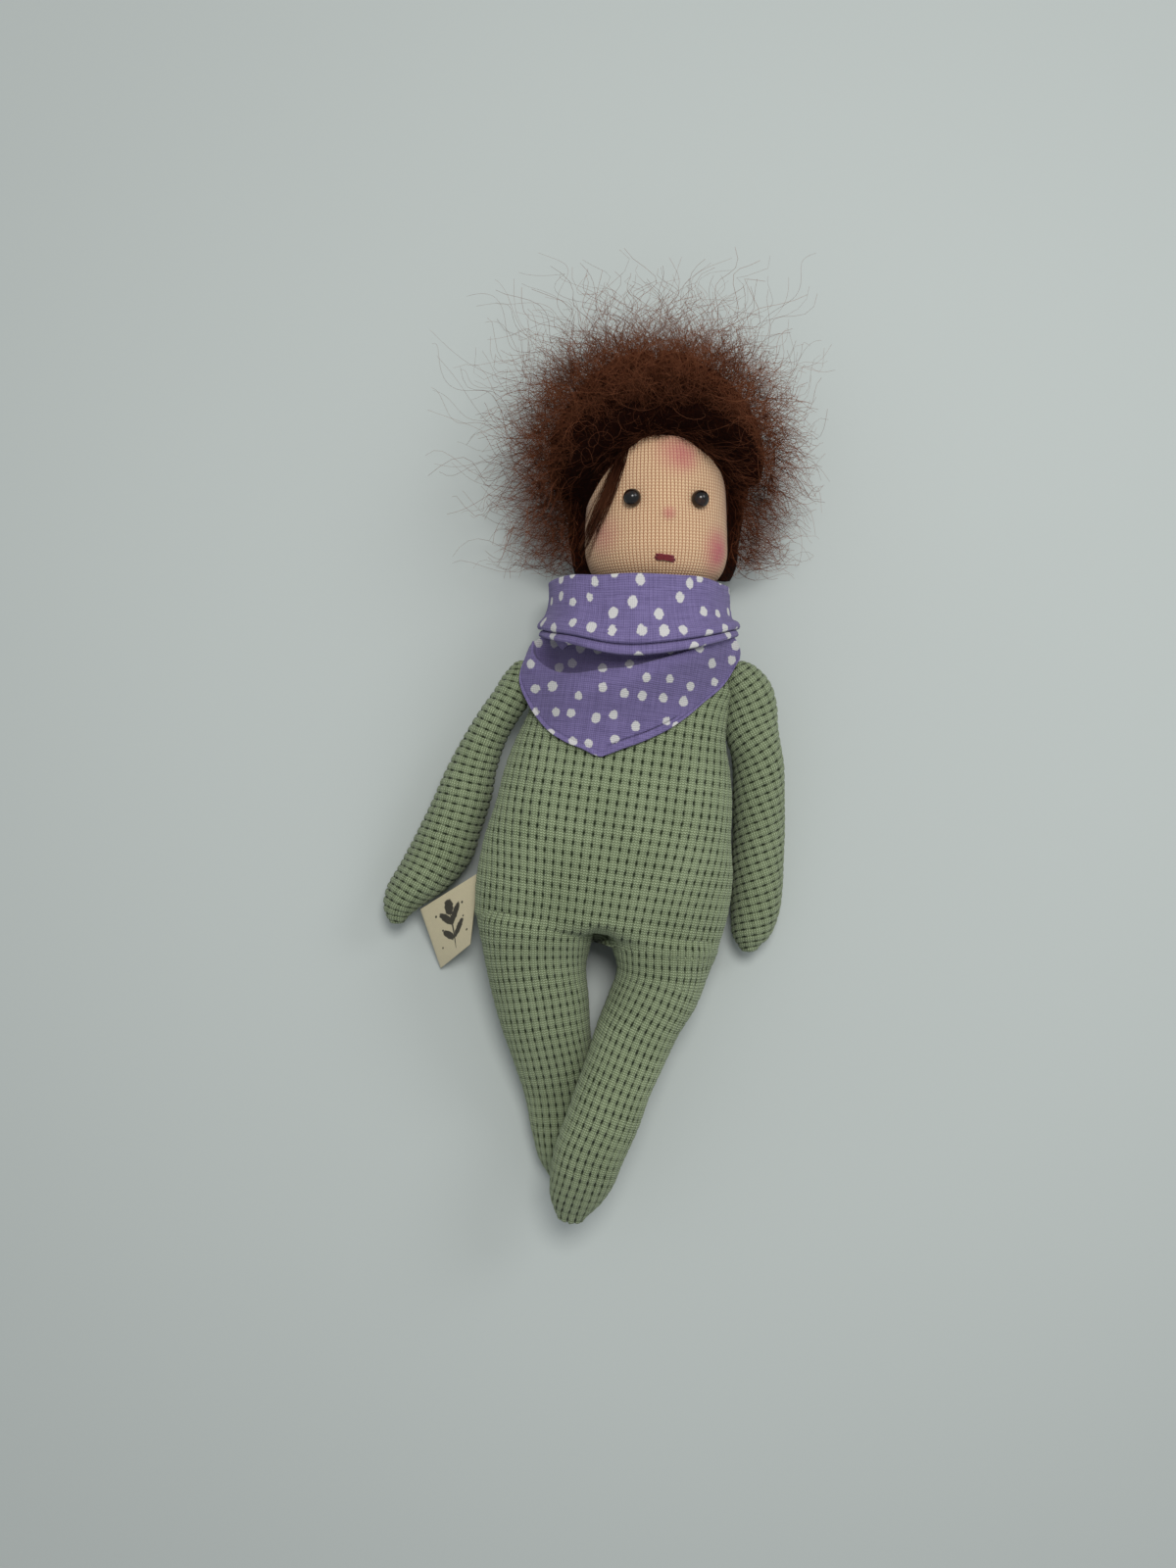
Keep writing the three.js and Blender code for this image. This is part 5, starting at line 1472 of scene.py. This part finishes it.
bed = np.maximum(coreHeight(px, py), coreHeight(x, y)[:, None] - reach * a * 0.9)
pz = bed + 0.1 + a * r.uniform(0.4, 4.5, (n, 1)) + np.sin(angle) * wide * 0.35
coat = bounded(np.stack([px, py, pz], -1))
coat = coat[~trespass(coat, 1.2)]
for part in range(2):
    some = coat[part::2]
    strandMesh(f"hairCoat{part + 1}", some, hair["thick"] * r.uniform(0.9, 1.5, len(some)),
               r.uniform(0, 1, len(some)))


# A curve through the pull of three values, at b from 0 to 1.
def bow(b, start, pull, end):
    return (1 - b) ** 2 * start + 2 * b * (1 - b) * pull + b ** 2 * end


# A lock swept down over the face's left edge, short tufts at the fringe, and long stray wisps.
n = hair["lock"]
a, spread = np.linspace(0, 1, 22)[None, :], r.normal(size=(n, 1))
b = a * r.uniform(0.7, 1.0, (n, 1))
x = bow(b, 10.5 + spread * 1.2, 7.0 + spread * 1.0, -4 + spread * 0.7)
y = bow(b, 102 + spread * 1.5, 89 - spread * 1.2, 69 - spread * 2)
wob = np.sin(b * r.uniform(5, 11, (n, 1)) + r.uniform(0, 6.28, (n, 1))) * 0.7 * b
aside = np.minimum(np.abs(x + wob - head["middle"][0]), 26)
away = np.sqrt(np.maximum(headRadius(y) ** 2 - aside ** 2, 0))
lift = 0.5 + r.uniform(0, 2.4, (n, 1)) * (0.4 + 0.6 * np.sin(math.pi * b))
lock = np.stack([x + wob, y + wob * 0.5, head["middle"][1] + away + lift], -1)
strandMesh("hairLock", lock, hair["thick"] * r.uniform(0.9, 1.4, n), r.uniform(0, 0.8, n))

n = hair["tufts"]
x = r.uniform(4, 46.5, n)
y = rowsAt(hair["fringe"], x)[:, 0] + r.uniform(0.3, 5, n)
aside = np.minimum(np.abs(x - head["middle"][0]), 24)
z = head["middle"][1] + np.sqrt(np.maximum(headRadius(y) ** 2 - aside ** 2, 1))
root = np.stack([x, y, z + 0.5], -1)
way = unit(np.stack([(x - 26) / 22 + r.normal(size=n) * 0.6, -0.35 + r.normal(size=n) * 0.5,
                     0.6 + 0 * x], -1))
tufts = strandPaths(root, way, r.uniform(5, 14, n), "tuft")
tufts = tufts[~trespass(tufts, 2.6)]
thick = np.full(len(tufts), hair["thick"] * 1.1)
strandMesh("hairTufts", tufts, thick, r.uniform(0, 0.8, len(tufts)))

n = hair["wisps"]
q = r.uniform(-0.9, math.pi + 0.7, n)
root = np.stack([21 + 27 * np.cos(q), 95 + 26 * np.sin(q), r.uniform(14, 44, n)], -1)
way = np.stack([np.cos(q), np.sin(q), r.normal(size=n) * 0.12], -1)
way = unit(way + r.normal(size=(n, 3)) * [0.35, 0.35, 0.08])
wisps = strandPaths(root, way, r.uniform(40, 72, n), "wisp")
wisps = wisps[~trespass(wisps, 0.5)]
thick = np.full(len(wisps), hair["thick"] * 0.85)
strandMesh("hairWisps", wisps, thick, r.uniform(0.3, 1, len(wisps)))
print("hair brushed")

# The CAD nodes that stay: thread, wound wool and stitches, each with its own finish.
sage = threadFinish("sageThread", (98, 110, 80))
paints = {"neck_core": woolFinish("woundWool"),
          "neck_thread": threadFinish("linenThread", (205, 195, 172))}
for side in ("left", "right"):
    paints[side + "_hip_stitch"] = paints[side + "_shoulder_thread"] = sage
    paints[side + "_eye_thread"] = threadFinish(side + "EyeThread", (60, 40, 30), upright=True)
for node, paint in paints.items():
    frame["nodes"][node].data.materials.clear()
    frame["nodes"][node].data.materials.append(paint)
print("carried-over nodes finished")


# Stage: a pale floor painted darker away from the middle as light falloff, a soft sky and two soft lamps.
stage = {
    "floor": (187, 193, 190), "half": 3000.0, "level": -0.15,
    "sky": 0.46, "key": 8.8, "window": 2.4,
    "sensor": 36.0, "lens": 36.0 * 580 / 544, "camera": (-1.36, -9.52, 600.0),
}
f = Finish("paleFloor", Roughness=0.8, Specular_IOR_Level=0.1)
at = f.place()
grain = f.noise(at, 0.004)
pale = linear(*stage["floor"])
# Painted light falloff: the floor darkens away from a point near the doll.
away = 1 - f.spot(at, (60, -20, 0), 420, 0.7)
f.finish(f.mix(away, f.mix(grain, scaled(pale, 0.97), pale), scaled(pale, 0.86)))
corners = np.array([[x * stage["half"], y * stage["half"], stage["level"]]
                    for x, y in ((-1, -1), (1, -1), (1, 1), (-1, 1))])
floor = makeMesh("floor", corners, [np.array([[0, 1, 2, 3]])], f.material)
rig.stage(floor)

world = bpy.data.worlds.new("softRoom")
world.use_nodes = True
background = next(n for n in world.node_tree.nodes if n.type == "BACKGROUND")
background.inputs["Color"].default_value = (0.93, 0.97, 1.0, 1)
background.inputs["Strength"].default_value = stage["sky"]
bpy.context.scene.world = world


def softLamp(name, at, size, power, colour):
    lamp = bpy.data.lights.new(name, "AREA")
    lamp.shape, lamp.size, lamp.energy, lamp.color = "DISK", size, power, colour
    holder = bpy.data.objects.new(name, lamp)
    holder.location = at
    holder.rotation_euler = (-Vector(at)).to_track_quat("-Z", "Y").to_euler()
    bpy.context.scene.collection.objects.link(holder)


softLamp("keyLamp", (0.12, 0.4, 1.25), 0.45, stage["key"], (1.0, 0.99, 0.97))
softLamp("windowLamp", (0.8, 0.55, 0.75), 0.5, stage["window"], (0.96, 0.98, 1.0))

# Camera: straight above, as the photograph was taken.
lens = bpy.data.cameras.new("photoCamera")
lens.sensor_width, lens.lens = stage["sensor"], stage["lens"]
lens.clip_start, lens.clip_end = 0.01, 20.0
camera = bpy.data.objects.new("photoCamera", lens)
camera.location = rowPoint(stage["camera"])
bpy.context.scene.collection.objects.link(camera)
bpy.context.scene.camera = camera
bpy.context.scene.view_settings.view_transform = "Standard"

seen = [list(corner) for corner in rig.bounds()]
with open("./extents.json", "w") as out:
    json.dump({"cad": cadBox, "visual": seen}, out)
print("sizes written", cadBox, seen)
